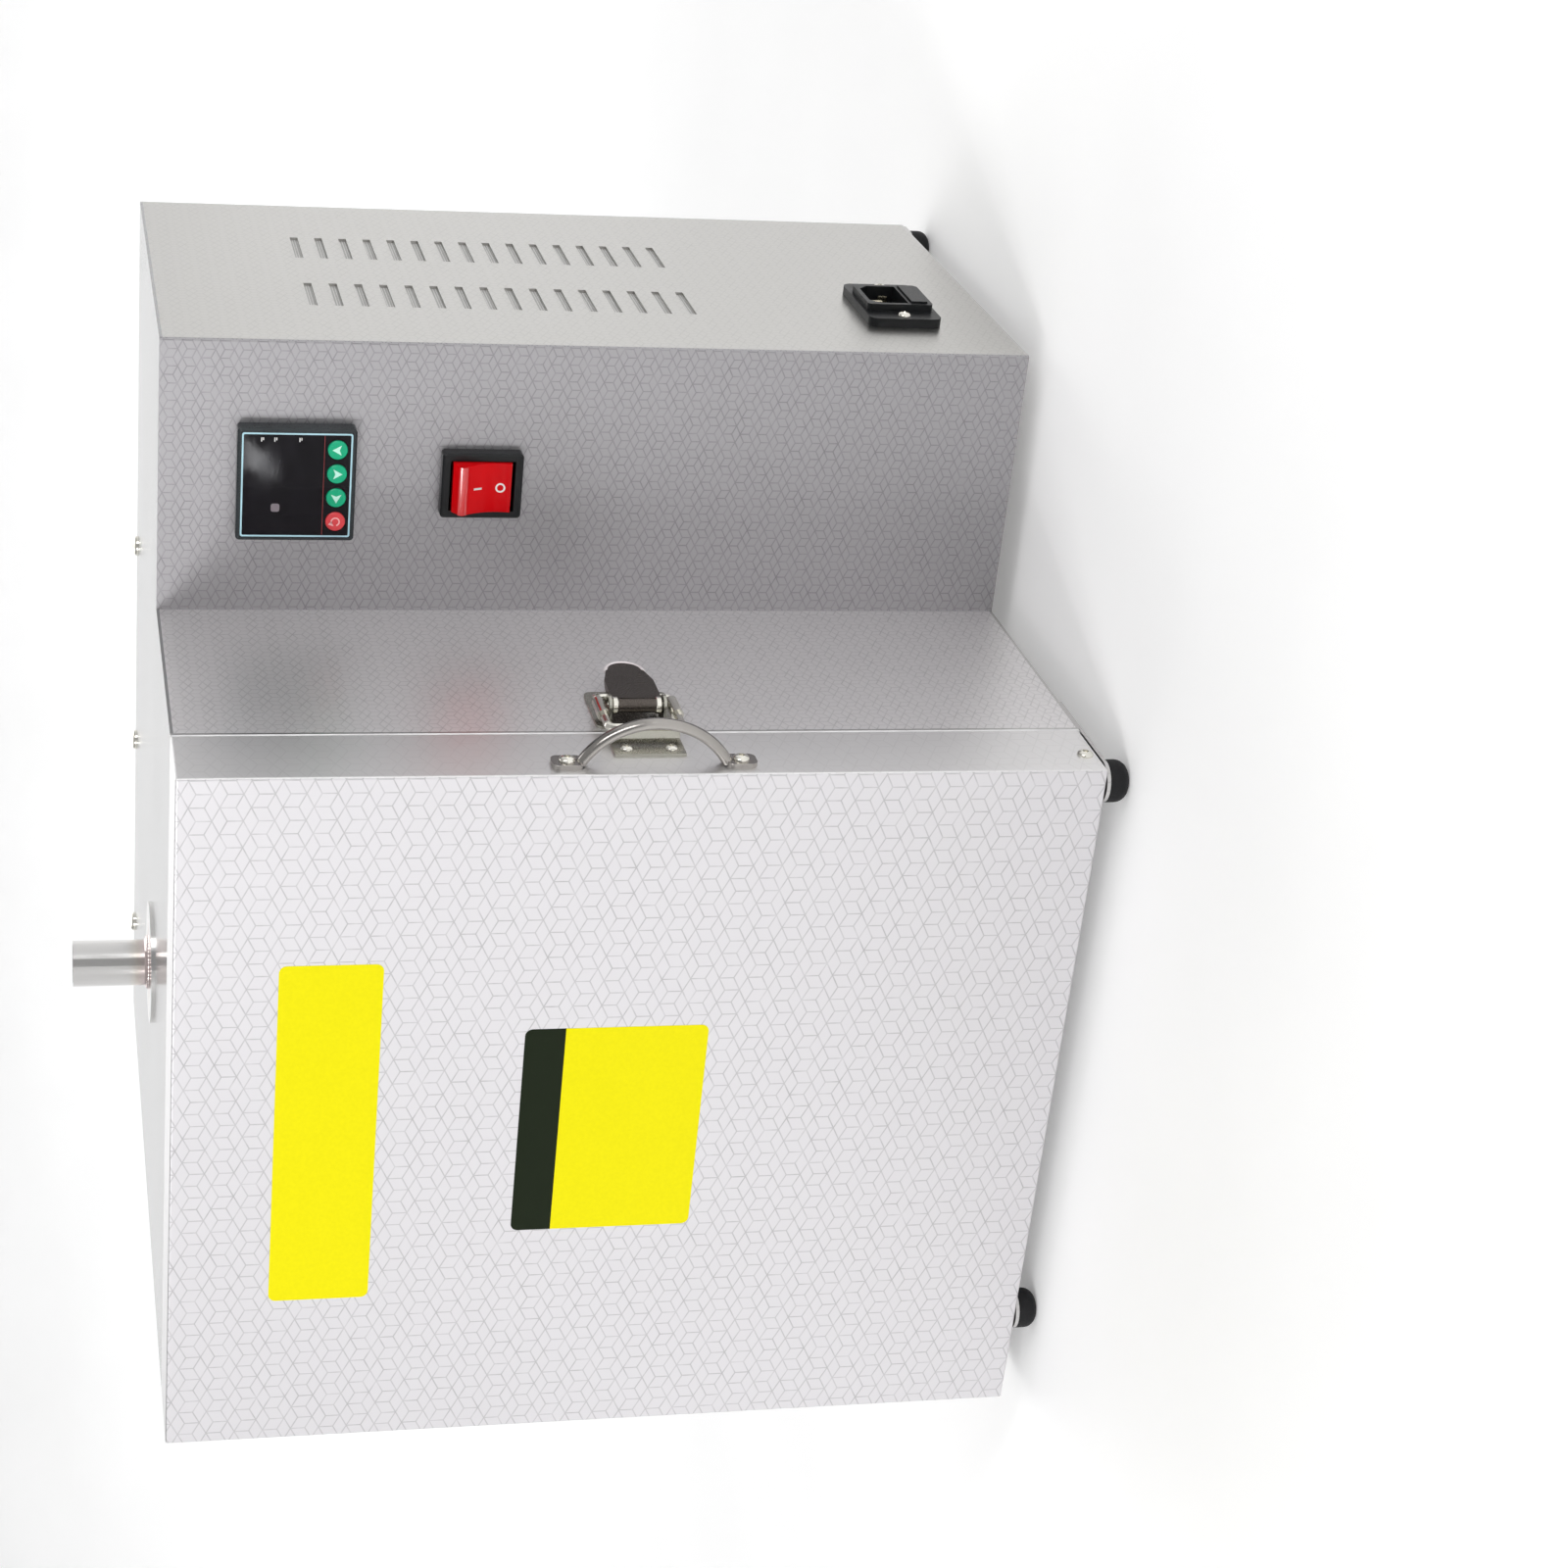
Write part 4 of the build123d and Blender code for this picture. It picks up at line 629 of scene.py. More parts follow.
def cross_cutter(span, width, top, floor):
    """The two tapered bars of a screw's cross recess, with their turns."""
    bars = []
    for turn in (0, 90):
        bm = bmesh.new()
        high = [(-span / 2, -width / 2), (span / 2, -width / 2), (span / 2, width / 2),
                (-span / 2, width / 2)]
        low = [(0.45 * x, 0.7 * y) for x, y in high]
        a = [bm.verts.new((x, y, top)) for x, y in high]
        b = [bm.verts.new((x, y, floor)) for x, y in low]
        bm.faces.new(a)
        bm.faces.new(b[::-1])
        for i in range(4):
            j = (i + 1) % 4
            bm.faces.new((a[i], b[i], b[j], a[j]))
        bars.append((bm, Matrix.Rotation(math.radians(turn), 4, "Z")))
    return bars


def cross_head(radius, height):
    """Domed screw head with a cross recess."""
    head = lathe(dome(radius, height), 36)
    for cutter, matrix in cross_cutter(1.15 * radius, 0.26 * radius, 1.2 * height, 0.3 * height):
        cutter.transform(matrix)
        head = carved(head, cutter)
    return head


def blind_rivet(radius, height):
    """Dome with the dimple where the mandrel broke off."""
    hole = 0.34 * radius
    profile = [p for p in dome(radius, height, 9) if p[0] > 1.25 * hole or p[1] == 0.0]
    profile += [(1.08 * hole, 0.93 * height), (hole, 0.80 * height), (hole, 0.42 * height),
                (0.6 * hole, 0.36 * height), (0.0, 0.50 * height)]
    return lathe(profile, 32)


# Heads, by radius and height
SCREW = cross_head(4.7 * MM, 2.6 * MM)
SMALL_SCREW = cross_head(2.9 * MM, 1.6 * MM)
RIVET = blind_rivet(3.2 * MM, 1.9 * MM)
LATCH_RIVET = blind_rivet(2.5 * MM, 1.5 * MM)
UP, BACK, RIGHT, LEFT = (0, 0, 1), (0, 1, 0), (1, 0, 0), (-1, 0, 0)
SUNK = 0.02 * MM                # heads start this far inside the sheet that carries them

# Where they sit, from the nearest edge or from the middle
COVER_FIRST, COVER_PITCH, COVER_EDGE = 48 * MM, 102 * MM, 9 * MM
BACK_SIDE_EDGE, BACK_END_EDGE = 8.1 * MM, 24 * MM
HANDLE_RIVET_UP, HANDLE_FOOT_T = 33.75 * MM, 2 * MM
LATCH_PLATE_T, CATCH_RIVET_BACK, CATCH_RIVET_UP = 1.2 * MM, 20 * MM, 8.75 * MM
BASE_RIVET_EDGE, BASE_RIVET_UP = 5.5 * MM, 11.5 * MM
CORNER_RIVET_BACK, CORNER_RIVET_UP = 14 * MM, 5 * MM
HINGE_END, HINGE_RIVET_UP, HINGE_RIVET_OUT, LEAF_T = 62 * MM, 16 * MM, 18.95 * MM, 1.6 * MM
INLET_FLANGE_T, INLET_SCREW_OUT = 4 * MM, 20 * MM


def pair(shape, x, y, up, outward, z=Z_MID):
    """Two of a shape, above and below z."""
    return [(shape, stand((x, y, z + s * up), outward)) for s in (-1, 1)]


def cover_screws():
    """Three on top of the cover at the rear, and three columns of three in the back."""
    screws = [(SCREW, stand((X_SEAM - COVER_FIRST - COVER_PITCH * i, Y_REAR - COVER_EDGE,
                             Z_TOP - SUNK), UP, 20 + 37 * i)) for i in range(3)]
    columns = (X_LEFT + BACK_SIDE_EDGE, X_SEAM - BACK_SIDE_EDGE, X_OUTER - BACK_SIDE_EDGE)
    heights = (Z_BASE + BACK_END_EDGE, Z_MID, Z_TOP - BACK_END_EDGE)
    screws += [(SCREW, stand((x, Y_REAR - SUNK, z), BACK, 15 + 29 * i + 51 * k))
               for i, x in enumerate(columns) for k, z in enumerate(heights)]
    piece("cover_screws", gather(screws), fitting, "cabinet")


def rivets():
    """Rivets of the handle, latch and hinges, and one at the door's lower corner."""
    handle_y = middle(*(c.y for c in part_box("door_handle")))
    pin_y = middle(*(c.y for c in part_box("hinge_pins")))
    leaf_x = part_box("hinge_door_leaves")[1].x - LEAF_T + SUNK
    hinges = [pair(RIVET, leaf_x, pin_y + side * HINGE_RIVET_OUT, HINGE_RIVET_UP, LEFT, z)
              for side in (-1, 1) for z in (Z_TOP - HINGE_END, Z_BASE + HINGE_END)]
    corner = (X_SEAM - SUNK, Y_FRONT + CORNER_RIVET_BACK,
              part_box("door_shell")[0].z + CORNER_RIVET_UP)
    piece("door_rivets", gather(
        pair(RIVET, X_SEAM + HANDLE_FOOT_T - SUNK, handle_y, HANDLE_RIVET_UP, RIGHT)
        + pair(LATCH_RIVET, X_SEAM + LATCH_PLATE_T - SUNK, Y_FRONT + CATCH_RIVET_BACK,
               CATCH_RIVET_UP, RIGHT)
        + [(RIVET, stand(corner, RIGHT))] + hinges[0] + hinges[1]),
        fitting, "door")
    piece("body_rivets", gather(
        hinges[2] + hinges[3]
        + pair(LATCH_RIVET, X_SEAM + LATCH_PLATE_T - SUNK,
               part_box("latch_base")[1].y - BASE_RIVET_EDGE, BASE_RIVET_UP, RIGHT)),
        fitting, "cabinet")


def inlet_screws():
    """One on each side of the inlet, in its flange."""
    lo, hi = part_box("inlet_case")
    at = Vector((X_OUTER + INLET_FLANGE_T - SUNK, middle(lo.y, hi.y), middle(lo.z, hi.z)))
    piece("inlet_screws", gather([
        (SMALL_SCREW, stand(at + s * INLET_SCREW_OUT * Vector(BACK), RIGHT, 25 * s))
        for s in (-1, 1)]), fitting, "cabinet")


cover_screws()
rivets()
inlet_screws()


# Stickers on the door, placed from the seam and the base
STICKER_T, STICKER_CORNER = 0.12 * MM, 3 * MM
BAND_FOOT = 207.2 * MM          # lower edge of the square sticker's dark band


def door_sticker(name, spans, finish, keep=None, cut=0.0):
    """Flat sticker over spans (x0, x1, z0, z1). keep is -1 or 1: its part below or above cut."""
    x0, x1, z0, z1 = (v * MM for v in spans)
    outline = round_rect(x1 - x0, z1 - z0, STICKER_CORNER)
    if keep:
        edge, half_w = cut - middle(z0, z1), (x1 - x0) / 2
        outline = [p for p in outline if keep * p[1] > keep * edge]
        outline += [(keep * -half_w, edge), (keep * half_w, edge)]
    on_front(name, prism(outline, STICKER_T), X_SEAM + middle(x0, x1), Y_FRONT,
             Z_BASE + middle(z0, z1), finish, "door")


LONG_STICKER, SQUARE_STICKER = (-234.5, -79.5, 280.0, 320.0), (-205.0, -110.4, 149.8, 223.4)
door_sticker("yellow_sticker", LONG_STICKER, yellow)
door_sticker("square_sticker", SQUARE_STICKER, yellow, -1, BAND_FOOT)
door_sticker("square_sticker_band", SQUARE_STICKER, black_print, 1, BAND_FOOT)


# Marks on the controller and the switch
def placed(outlines, depth, lift):
    """One bmesh of flat shapes, each given as (outline, x, y) in millimetres."""
    return gather([(prism([(px * MM, py * MM) for px, py in pts], depth, lift),
                    Matrix.Translation((x * MM, y * MM, 0))) for pts, x, y in outlines])


def turned(points, quarter):
    """Points turned by so many quarter turns."""
    for _ in range(quarter):
        points = [(-y, x) for x, y in points]
    return points


face_lo, face_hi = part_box("controller_face")
face_x, face_z = middle(face_lo.x, face_hi.x), middle(face_lo.z, face_hi.z)
INK, DIP = 0.07 * MM, -0.03 * MM        # thickness of print, and how far it starts inside
FAINT = 0.02 * MM                       # thickness of the unlit segments


def on_face(name, bm, finish):
    """Lays print on the controller's face, about its middle."""
    on_front(name, bm, face_x, face_lo.y, face_z, finish, "cabinet")


def idle_digits():
    """Unlit seven-segment digits, two rows of four, as (outline, x, y) in millimetres."""
    bar = [(-1, 0), (-0.82, 0.18), (0.82, 0.18), (1, 0), (0.82, -0.18), (-0.82, -0.18)]
    thick, shift = 2.1, -1.0
    digits = []
    for tall, foot, pitch in ((10.2, 6.0, 8.6), (6.8, -6.6, 6.6)):
        reach = tall / 4
        level_bar = [(px * 0.86 * reach, py * thick) for px, py in bar]
        upright_bar = [(px * thick, py * 0.9 * reach) for py, px in bar]
        for k in range(4):
            x = (k - 1.5) * pitch + shift
            digits += [(level_bar, x, foot + level * 2 * reach) for level in (0, 1, 2)]
            digits += [(upright_bar, x + side * 1.02 * reach, foot + (2 * level + 1) * reach)
                       for side in (-1, 1) for level in (0, 1)]
    return digits


face_w = face_hi.x - face_lo.x
border, border_inner = face_w - 0.3 * MM, face_w - 1.7 * MM
on_face("face_border", ring_prism(round_rect(border, border, 0.9 * MM),
                                  round_rect(border_inner, border_inner, 0.5 * MM), INK, DIP),
        pale_line)
on_face("face_line", placed([(round_rect(42.6, 0.22, 0.1, 2), 0, -10.9)], INK, DIP),
        red_line)
# A grey square painted where a reflection shows on the window.
on_face("face_reflection_spot", placed([(round_rect(3.5, 3.5, 0.9, 4), -9.7, 8.3)], INK, DIP),
        painted_spot_reflection)
on_face("face_marks", placed([(round_rect(w, 0.42, 0.15, 2), x, y + d)
                              for y in (14.0, 8.7, -1.3)
                              for w, x, d in ((1.8, 19.4, 0.45), (1.2, 19.7, -0.3))],
                             INK, DIP), white_ink)
on_face("face_segments", placed(idle_digits(), FAINT, DIP), segment)


def key_mark(key, name, outlines, finish):
    """Print on one of the controller's keys."""
    body = "controller_" + key + "_button"
    lo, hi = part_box(body)
    on_front(name, placed([(points, 0, 0) for points in outlines], INK, DIP),
             middle(lo.x, hi.x), lo.y, middle(lo.z, hi.z), finish, body)


ARROW = [(-2.2, 0), (1.5, 2.1), (0.7, 0), (1.5, -2.1)]
for key, quarter in (("left", 0), ("down", 1), ("up", 3)):
    key_mark(key, key + "_arrow", [turned(ARROW, quarter)], mint_ink)
LOOP = circle(1.9, 24, start=120, sweep=-285) + circle(1.35, 24, start=-165, sweep=285)
LOOP_HEAD = [(-1.9, 0.6), (0.2, 1.62), (-1.2, 2.9)]
key_mark("set", "set_loop", [LOOP, LOOP_HEAD], rose_ink)


def rocker_mark(name, grid, closed):
    """Print laid on the rocker's curved front. grid is rows of (x, z); closed joins their ends."""
    source = bmesh.new()
    source.from_mesh(NODES["switch_rocker"].data)
    tree = BVHTree.FromBMesh(source)
    source.free()
    bm = bmesh.new()
    skins = []
    for lift in (-INK, INK):
        skins.append([[bm.verts.new((x, tree.ray_cast(Vector((x, -1, z)), Vector(BACK))[0].y
                                     + lift, z)) for x, z in row] for row in grid])
    rows, n = len(grid), len(grid[0])
    span = range(n if closed else n - 1)
    for skin in skins:
        for a, b in zip(skin, skin[1:]):
            for i in span:
                j = (i + 1) % n
                bm.faces.new((a[i], a[j], b[j], b[i]))
    for r in (0, rows - 1):
        a, b = skins[0][r], skins[1][r]
        for i in span:
            j = (i + 1) % n
            bm.faces.new((a[i], a[j], b[j], b[i]))
    if not closed:
        for i in (0, n - 1):
            for r in range(rows - 1):
                bm.faces.new((skins[0][r][i], skins[0][r + 1][i], skins[1][r + 1][i],
                              skins[1][r][i]))
    piece(name, bm, white_ink, "switch_rocker")


rocker_x = middle(rocker_lo.x, rocker_hi.x)
on_z, off_z = rocker_hi.z - 10.2 * MM, rocker_lo.z + 5.6 * MM
rocker_mark("rocker_on_mark", [[(rocker_x + s * 0.42 * MM, on_z + t * 0.34 * MM)
                                for t in range(-5, 6)] for s in (-1, 1)], False)
rocker_mark("rocker_off_mark", [circle(r * MM, 36, rocker_x, off_z) for r in (1.35, 2.05)],
            True)


def rocker_ridge():
    """Rounded crest where the rocker's two faces meet."""
    short, foot = 1.4 * MM, 8 * MM          # how far it stays from the rocker's sides and foot
    rise, step, curve = 0.09, 0.22, 6.0     # its section, in millimetres
    source = bmesh.new()
    source.from_mesh(NODES["switch_rocker"].data)
    crest = min((v.co for v in source.verts if rocker_lo.z + foot < v.co.z < rocker_hi.z),
                key=lambda c: c.y).copy()
    source.free()
    half_w = (rocker_hi.x - rocker_lo.x) / 2 - short
    section = [(t * step * MM, (rise - (t * step) ** 2 / curve) * MM) for t in range(-8, 9)]
    bm = bmesh.new()
    ends = [[bm.verts.new((rocker_x + s * half_w, crest.y - up, crest.z + t))
             for t, up in section] for s in (-1, 1)]
    n = len(section)
    for i in range(n):
        j = (i + 1) % n
        bm.faces.new((ends[0][i], ends[0][j], ends[1][j], ends[1][i]))
    bm.faces.new(ends[0])
    bm.faces.new(ends[1][::-1])
    piece("rocker_ridge", bm, rocker_gloss, "switch_rocker", 60)


rocker_ridge()


# Latch trim
def tube_along(points, radius, sides=10):
    """Round bar with rounded ends through points that lie in one plane x = constant."""
    bm = bmesh.new()
    rings = []
    last = len(points) - 1
    stations = [(0, 0.45, -0.8)] + [(i, 1.0, 0.0) for i in range(last + 1)] + [(last, 0.45, 0.8)]
    for i, scale, shift in stations:
        along = (points[min(i + 1, last)] - points[max(i - 1, 0)]).normalized()
        out = along.cross(Vector(RIGHT))
        centre = points[i] + along * shift * radius
        rings.append([bm.verts.new(centre + radius * scale * (
            Vector(RIGHT) * math.cos(a) + out * math.sin(a)))
            for a in (2 * math.pi * k / sides for k in range(sides))])
    for a, b in zip(rings, rings[1:]):
        for k in range(sides):
            m = (k + 1) % sides
            bm.faces.new((a[k], a[m], b[m], b[k]))
    bm.faces.new(rings[0][::-1])
    bm.faces.new(rings[-1])
    return bm


def lever_trim():
    """Rings at the ends of the lever's barrel, and the pale edge round its thumb tab."""
    barrel_gap, tab_edge, tab_r, edge_r = 0.15 * MM, 0.6 * MM, 7.5 * MM, 1.0 * MM
    lo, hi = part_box("latch_lever")
    pin_x, pin_y = (middle(a, b) for a, b in list(zip(*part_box("latch_base_pin")))[:2])
    profile = [(2.4, 0), (3.1, 0), (3.35, 0.3), (3.35, 1.9), (3.1, 2.2), (2.4, 2.2), (2.4, 0)]
    band = lathe([(r * MM, z * MM) for r, z in profile], 28)
    bmesh.ops.remove_doubles(band, verts=band.verts, dist=1e-7)
    out = (hi.z - lo.z) / 2 - barrel_gap
    piece("lever_rings", gather([(band, stand((pin_x, pin_y, Z_MID + s * out), (0, 0, -s)))
                                 for s in (-1, 1)]), fitting, "latch_lever")
    edge = [Vector((hi.x - tab_edge, hi.y - tab_r + tab_r * math.cos(a),
                    Z_MID + tab_r * math.sin(a)))
            for a in (math.radians(-86 + 172 * k / 24) for k in range(25))]
    piece("lever_tip", tube_along(edge, edge_r), pale_tip, "latch_lever", 50)


lever_trim()


# Rim of the mouth and cloth behind the vents
def mouth_bead():
    """Rim that shows in the gap between the door and the body, near white as a painted highlight
    of its folded edge.
    """
    inset, width, bead_t = 0.1 * MM, 1.45 * MM, 1.3 * MM
    lo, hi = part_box("mouth_frame")
    w, h = hi.x - lo.x - inset, hi.z - lo.z - inset
    inner_w, inner_h = w - 2 * width, h - 2 * width
    on_front("mouth_bead", ring_prism(round_rect(w, h, 1.0 * MM),
                                      round_rect(inner_w, inner_h, 0.6 * MM), bead_t, -SUNK),
             middle(lo.x, hi.x), lo.y, Z_MID, painted_rim_highlight, "cabinet")


def vent_screen():
    """Fine wire cloth just inside the vented panel."""
    wide, tall, cloth_t, corner_r = 113 * MM, 176 * MM, 0.4 * MM, 3 * MM
    y, z, sheet_t, gap = 76.5 * MM, 225.25 * MM, 1.2 * MM, 0.02 * MM
    bm = prism(round_rect(tall, wide, corner_r), cloth_t)
    bm.transform(Matrix(((0, 0, 1, X_OUTER - sheet_t - cloth_t - gap), (0, 1, 0, y),
                         (-1, 0, 0, z), (0, 0, 0, 1))))
    piece("vent_screen", bm, screen_cloth, "cabinet")


mouth_bead()
vent_screen()


# Heating coils
# The groove's run: radius of its turns, the front and rear ends of its passes, and their number
TURN_R, TURN_FAR, COIL_START, PASSES = 14.256 * MM, 85.5 * MM, 101.5 * MM, 6
WIRE_R, TAIL_R, COIL_PITCH, TURN_STEPS = 0.55 * MM, 2.0 * MM, 3.8 * MM, 12
WIRE_IN = 1.6 * WIRE_R                  # from the CAD tube's surface to the wire's centre
COIL_FADE, COIL_END = 10 * MM, 0.25     # where the coil narrows, and to what share of its radius
TAIL_LAP = 3 * MM                       # overlap of coil and tail
ARC_STEPS = 12


def rounded(corners, r, step):
    """Evenly spaced points along straight runs whose square corners are rounded."""
    dense = [corners[0]]
    for before, corner, after in zip(corners, corners[1:], corners[2:]):
        u, w = (corner - before).normalized(), (after - corner).normalized()
        centre = corner - u * r + w * r
        for k in range(ARC_STEPS + 1):
            a = math.pi / 2 * k / ARC_STEPS
            dense.append(centre - w * r * math.cos(a) + u * r * math.sin(a))
    dense.append(corners[-1])
    points, carry = [dense[0]], 0.0
    for a, b in zip(dense, dense[1:]):
        run = (b - a).length
        at = step - carry
        while at < run:
            points.append(a + (b - a) * (at / run))
            at += step
        carry = run - (at - step)
    return points


def heating_coil(name, node):
    """Wound wire along the side board's groove, with its two straight tails."""
    lo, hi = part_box(node)
    x, coil_r = middle(lo.x, hi.x), (hi.x - lo.x) / 2
    low, high, near = lo.z + coil_r, hi.z - coil_r, lo.y + coil_r
    corners = []
    for i in range(PASSES):
        z = low + (high - low) * i / (PASSES - 1)
        ends = (TURN_FAR, near) if i % 2 == 0 else (near, TURN_FAR)
        corners += [Vector((y, z)) for y in ends]
    corners[0].x = corners[-1].x = COIL_START
    path = rounded(corners, TURN_R, COIL_PITCH / TURN_STEPS)
    curve = bpy.data.curves.new(name, "CURVE")
    curve.dimensions = "3D"
    curve.bevel_depth, curve.bevel_resolution = WIRE_R, 1
    curve.use_fill_caps = True
    spline = curve.splines.new("POLY")
    last = len(path) - 1
    spline.points.add(last)
    fade = COIL_FADE / (COIL_PITCH / TURN_STEPS)
    for i, p in enumerate(path):
        t = (path[min(i + 1, last)] - path[max(i - 1, 0)]).normalized()
        out = Vector((-t.y, t.x))
        r = (coil_r - WIRE_IN) * min(1.0, COIL_END + i / fade, COIL_END + (last - i) / fade)
        a = 2 * math.pi * i / TURN_STEPS
        q = p + out * r * math.sin(a)
        spline.points[i].co = (x + r * math.cos(a), q.x, q.y, 1)
    wound = bpy.data.objects.new(name, curve)
    bpy.context.scene.collection.objects.link(wound)
    mesh = bpy.data.meshes.new_from_object(
        wound.evaluated_get(bpy.context.evaluated_depsgraph_get()))
    bpy.data.objects.remove(wound)
    bm = bmesh.new()
    bm.from_mesh(mesh)
    bpy.data.meshes.remove(mesh)
    tail_l = hi.y - COIL_START + TAIL_LAP
    tail = lathe([(0, 0), (0.7 * TAIL_R, 0), (TAIL_R, 0.3 * TAIL_R), (TAIL_R, tail_l),
                  (0, tail_l)], 14)
    whole = gather([(bm, Matrix())] + [
        (tail, stand((x, COIL_START - TAIL_LAP, z), BACK)) for z in (low, high)])
    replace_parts(piece(name, whole, coil_wire, "cabinet", 50), node)


for side in ("left", "right"):
    heating_coil(side + "_heating_coil", side + "_heating_element")


# Weld round the flue
def flue_weld():
    """Rippled ring of weld where the tube meets its flange: each ripple swells and falls."""
    major, minor, low, swell = 10.7 * MM, 1.0 * MM, 0.82, 0.26
    ripples, steps, section = 34, 6, 10
    x, y, z = flue_x, flue_y, flange_top + 0.3 * MM
    bm = bmesh.new()
    around = ripples * steps
    rings = []
    for i in range(around):
        a = 2 * math.pi * i / around
        r = minor * (low + swell * math.sin(math.pi * (i % steps) / steps))
        rings.append([bm.verts.new((x + (major + r * math.cos(b)) * math.cos(a),
                                    y + (major + r * math.cos(b)) * math.sin(a),
                                    z + r * math.sin(b)))
                      for b in (2 * math.pi * k / section for k in range(section))])
    for a, b in zip(rings, rings[1:] + rings[:1]):
        for k in range(section):
            m = (k + 1) % section
            bm.faces.new((a[k], b[k], b[m], a[m]))
    piece("flue_weld", bm, flue_finish, "cabinet", 60)


flue_weld()


# Camera. Its view was worked out from the box's straight edges in the photograph.
CAMERA_AT = Vector((X_SEAM + 474.9 * MM, Y_FRONT - 954.6 * MM, Z_BASE + 412.5 * MM))
YAW, PITCH, ROLL = map(math.radians, (-26.632, 11.869, -0.588))
PHOTO_SIDE, FOCAL, SHIFT = 1600, 2959.4, 150        # pixels of the photograph
SENSOR = 36                                         # millimetres across


def camera():
    """The photograph lies on its side: the object's height runs from right to left in it."""
    ahead = Vector((math.sin(YAW) * math.cos(PITCH), math.cos(YAW) * math.cos(PITCH),
                    -math.sin(PITCH)))
    level = Vector((math.cos(YAW), -math.sin(YAW), 0))
    upright = level.cross(ahead)
    right = math.cos(ROLL) * level + math.sin(ROLL) * upright
    up = -math.sin(ROLL) * level + math.cos(ROLL) * upright
    data = bpy.data.cameras.new("camera")
    data.sensor_width = SENSOR
    data.lens = FOCAL / PHOTO_SIDE * SENSOR
    data.shift_x = SHIFT / PHOTO_SIDE
    data.clip_start, data.clip_end = 0.05, 50
    obj = bpy.data.objects.new("camera", data)
    bpy.context.scene.collection.objects.link(obj)
    turn = Matrix((-up, right, -ahead)).transposed().to_4x4()
    obj.matrix_world = Matrix.Translation(CAMERA_AT) @ turn
    bpy.context.scene.camera = obj


# Floor and light
def staged(name, mesh, finish):
    """Object that is not part of the furnace."""
    mesh.materials.append(finish)
    obj = bpy.data.objects.new(name, mesh)
    bpy.context.scene.collection.objects.link(obj)
    return obj


def studio_floor():
    """Pale floor that curves up into a round wall, which darkens towards its top. Near the ground
    the floor glows: painted light that keeps it white.
    """
    flat_r, bend_r, wall_top, bend_steps = 2.6, 1.2, 3.2, 12
    p = Paint("studio_floor")
    height = p.split(p.place)[2]
    grain = p.range(p.noise(6, 2.0), 0.3, 0.7, 0.93, 0.96)
    wall = p.range(height, 1.3, 2.2, 1.0, 0.5)
    p.set(Base_Color=p.tint(p.math("MULTIPLY", grain, wall), (0, 0, 0, 1), (1, 1, 1, 1)),
          Roughness=0.9)
    p.shader.inputs["Specular IOR Level"].default_value = 0.1
    # Painted light: the floor glows near the ground, washing out the shadows round the furnace.
    p.shader.inputs["Emission Color"].default_value = (1, 1, 1, 1)
    p.feed(p.shader.inputs["Emission Strength"], p.range(height, 0.1, 0.5, 0.16, 0.0))
    bowl = [(0.0, 0.0), (flat_r, 0.0)]
    for i in range(1, bend_steps + 1):
        a = math.pi / 2 * i / bend_steps
        bowl.append((flat_r + bend_r * math.sin(a), bend_r * (1 - math.cos(a))))
    bowl.append((flat_r + bend_r, wall_top))
    bm = lathe(bowl, 72)
    bmesh.ops.reverse_faces(bm, faces=bm.faces)
    mesh = bpy.data.meshes.new("studio_floor")
    bm.to_mesh(mesh)
    bm.free()
    for f in mesh.polygons:
        f.use_smooth = True
    staged("studio_floor", mesh, p.material)


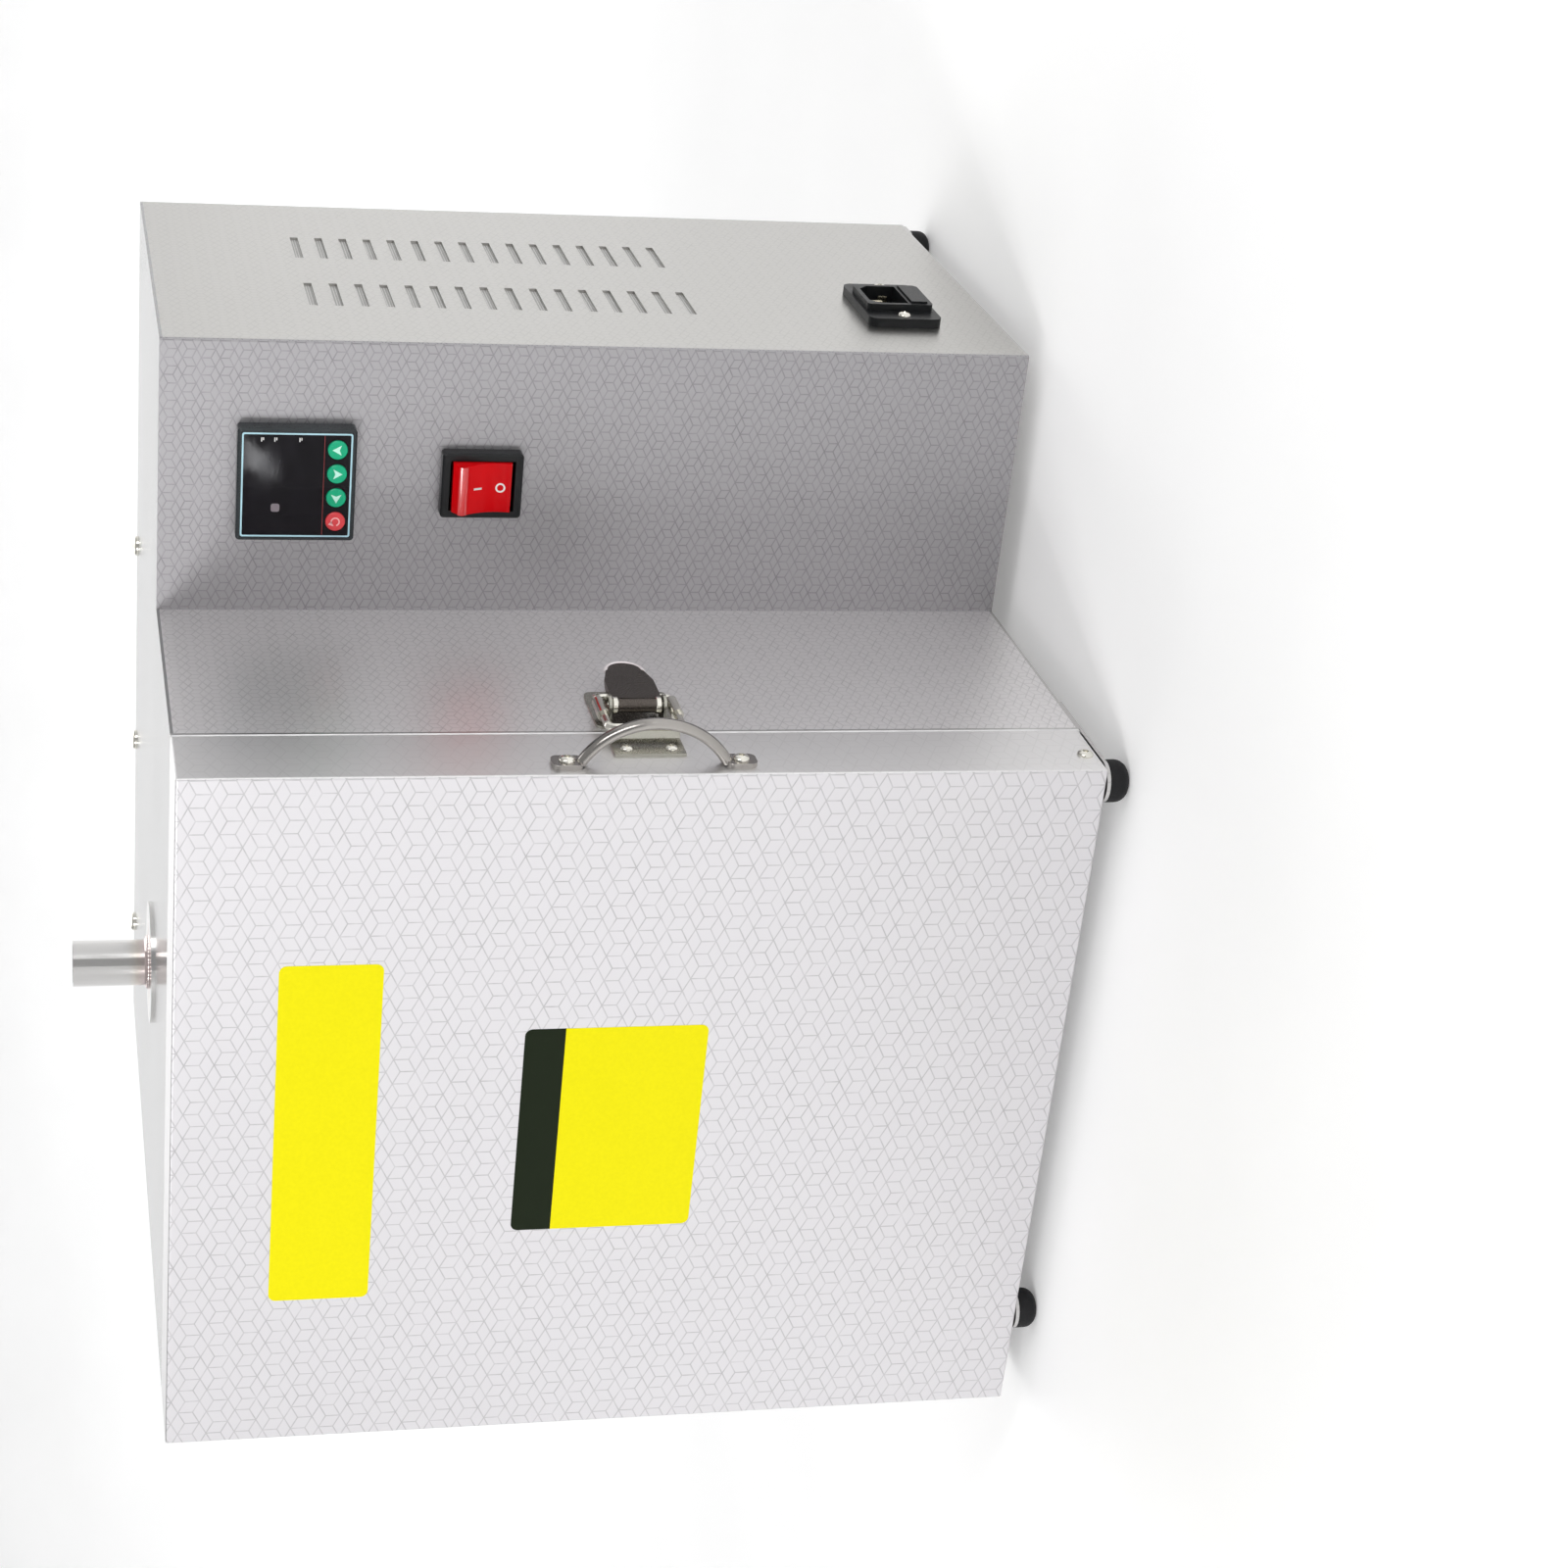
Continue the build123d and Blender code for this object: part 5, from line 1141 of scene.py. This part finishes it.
def studio_light():
    """White surroundings and four soft lamps, as (name, place, width, height, watts)."""
    world = bpy.data.worlds.new("studio")
    world.use_nodes = True
    world.node_tree.nodes["Background"].inputs[0].default_value = (1.0, 1.0, 1.0, 1)
    world.node_tree.nodes["Background"].inputs[1].default_value = 0.42
    bpy.context.scene.world = world
    aim = Vector((0, 0, 0.18))
    for name, place, width, height, power in (
            ("key", (-0.75, -2.1, 1.35), 0.7, 1.1, 18),
            ("fill", (2.0, -0.9, 1.2), 0.8, 1.5, 14),
            ("rim", (-0.6, 2.4, 2.6), 3.6, 3.6, 60),
            ("strip", (-0.45, -1.75, 1.15), 0.05, 0.9, 3)):
        data = bpy.data.lights.new(name, "AREA")
        data.shape = "RECTANGLE"
        data.size, data.size_y, data.energy = width, height, power
        lamp = bpy.data.objects.new(name, data)
        bpy.context.scene.collection.objects.link(lamp)
        lamp.location = place
        lamp.rotation_euler = (aim - Vector(place)).to_track_quat("-Z", "Y").to_euler()


def grey_card():
    """Grey card at the right that the steel mirrors."""
    p = Paint("dark_card")
    p.set(Base_Color=p.tint(p.noise(8, 2.0), (0.30, 0.30, 0.30, 1), (0.36, 0.36, 0.36, 1)),
          Roughness=0.9)
    bm = prism(round_rect(0.9, 1.3, 0.02), 0.01)
    bm.transform(stand((0.95, -1.62, 0.66), (-0.5, 0.86, 0), 90))
    mesh = bpy.data.meshes.new("dark_card")
    bm.to_mesh(mesh)
    bm.free()
    card = staged("dark_card", mesh, p.material)
    card.visible_camera = card.visible_shadow = False


def lit_card():
    """Bright card whose mirror image is the slanted highlight on the controller's window."""
    card_y = -1.15
    highlight = ((8.1, 22.1), (20.6, 21.8), (11.2, 11.0), (3.1, 7.7))   # from the face's middle
    p = Paint("lit_card")
    p.set(Emission_Color=p.tint(p.noise(9, 2.0), (0.9, 0.92, 1, 1), (1, 1, 1, 1)))
    p.shader.inputs["Emission Strength"].default_value = 11.0
    behind = Vector((CAMERA_AT.x, 2 * face_lo.y - CAMERA_AT.y, CAMERA_AT.z))
    corners = []
    for x, z in highlight:
        spot = Vector((face_x + x * MM, face_lo.y, face_z + z * MM))
        corners.append(spot + (spot - behind) * ((card_y - spot.y) / (spot.y - behind.y)))
    mesh = bpy.data.meshes.new("lit_card")
    mesh.from_pydata(corners, [], [(0, 1, 2, 3)])
    card = staged("lit_card", mesh, p.material)
    card.visible_camera = card.visible_shadow = card.visible_diffuse = False


bpy.context.scene.view_settings.view_transform = "Standard"
camera()
studio_floor()
studio_light()
grey_card()
lit_card()
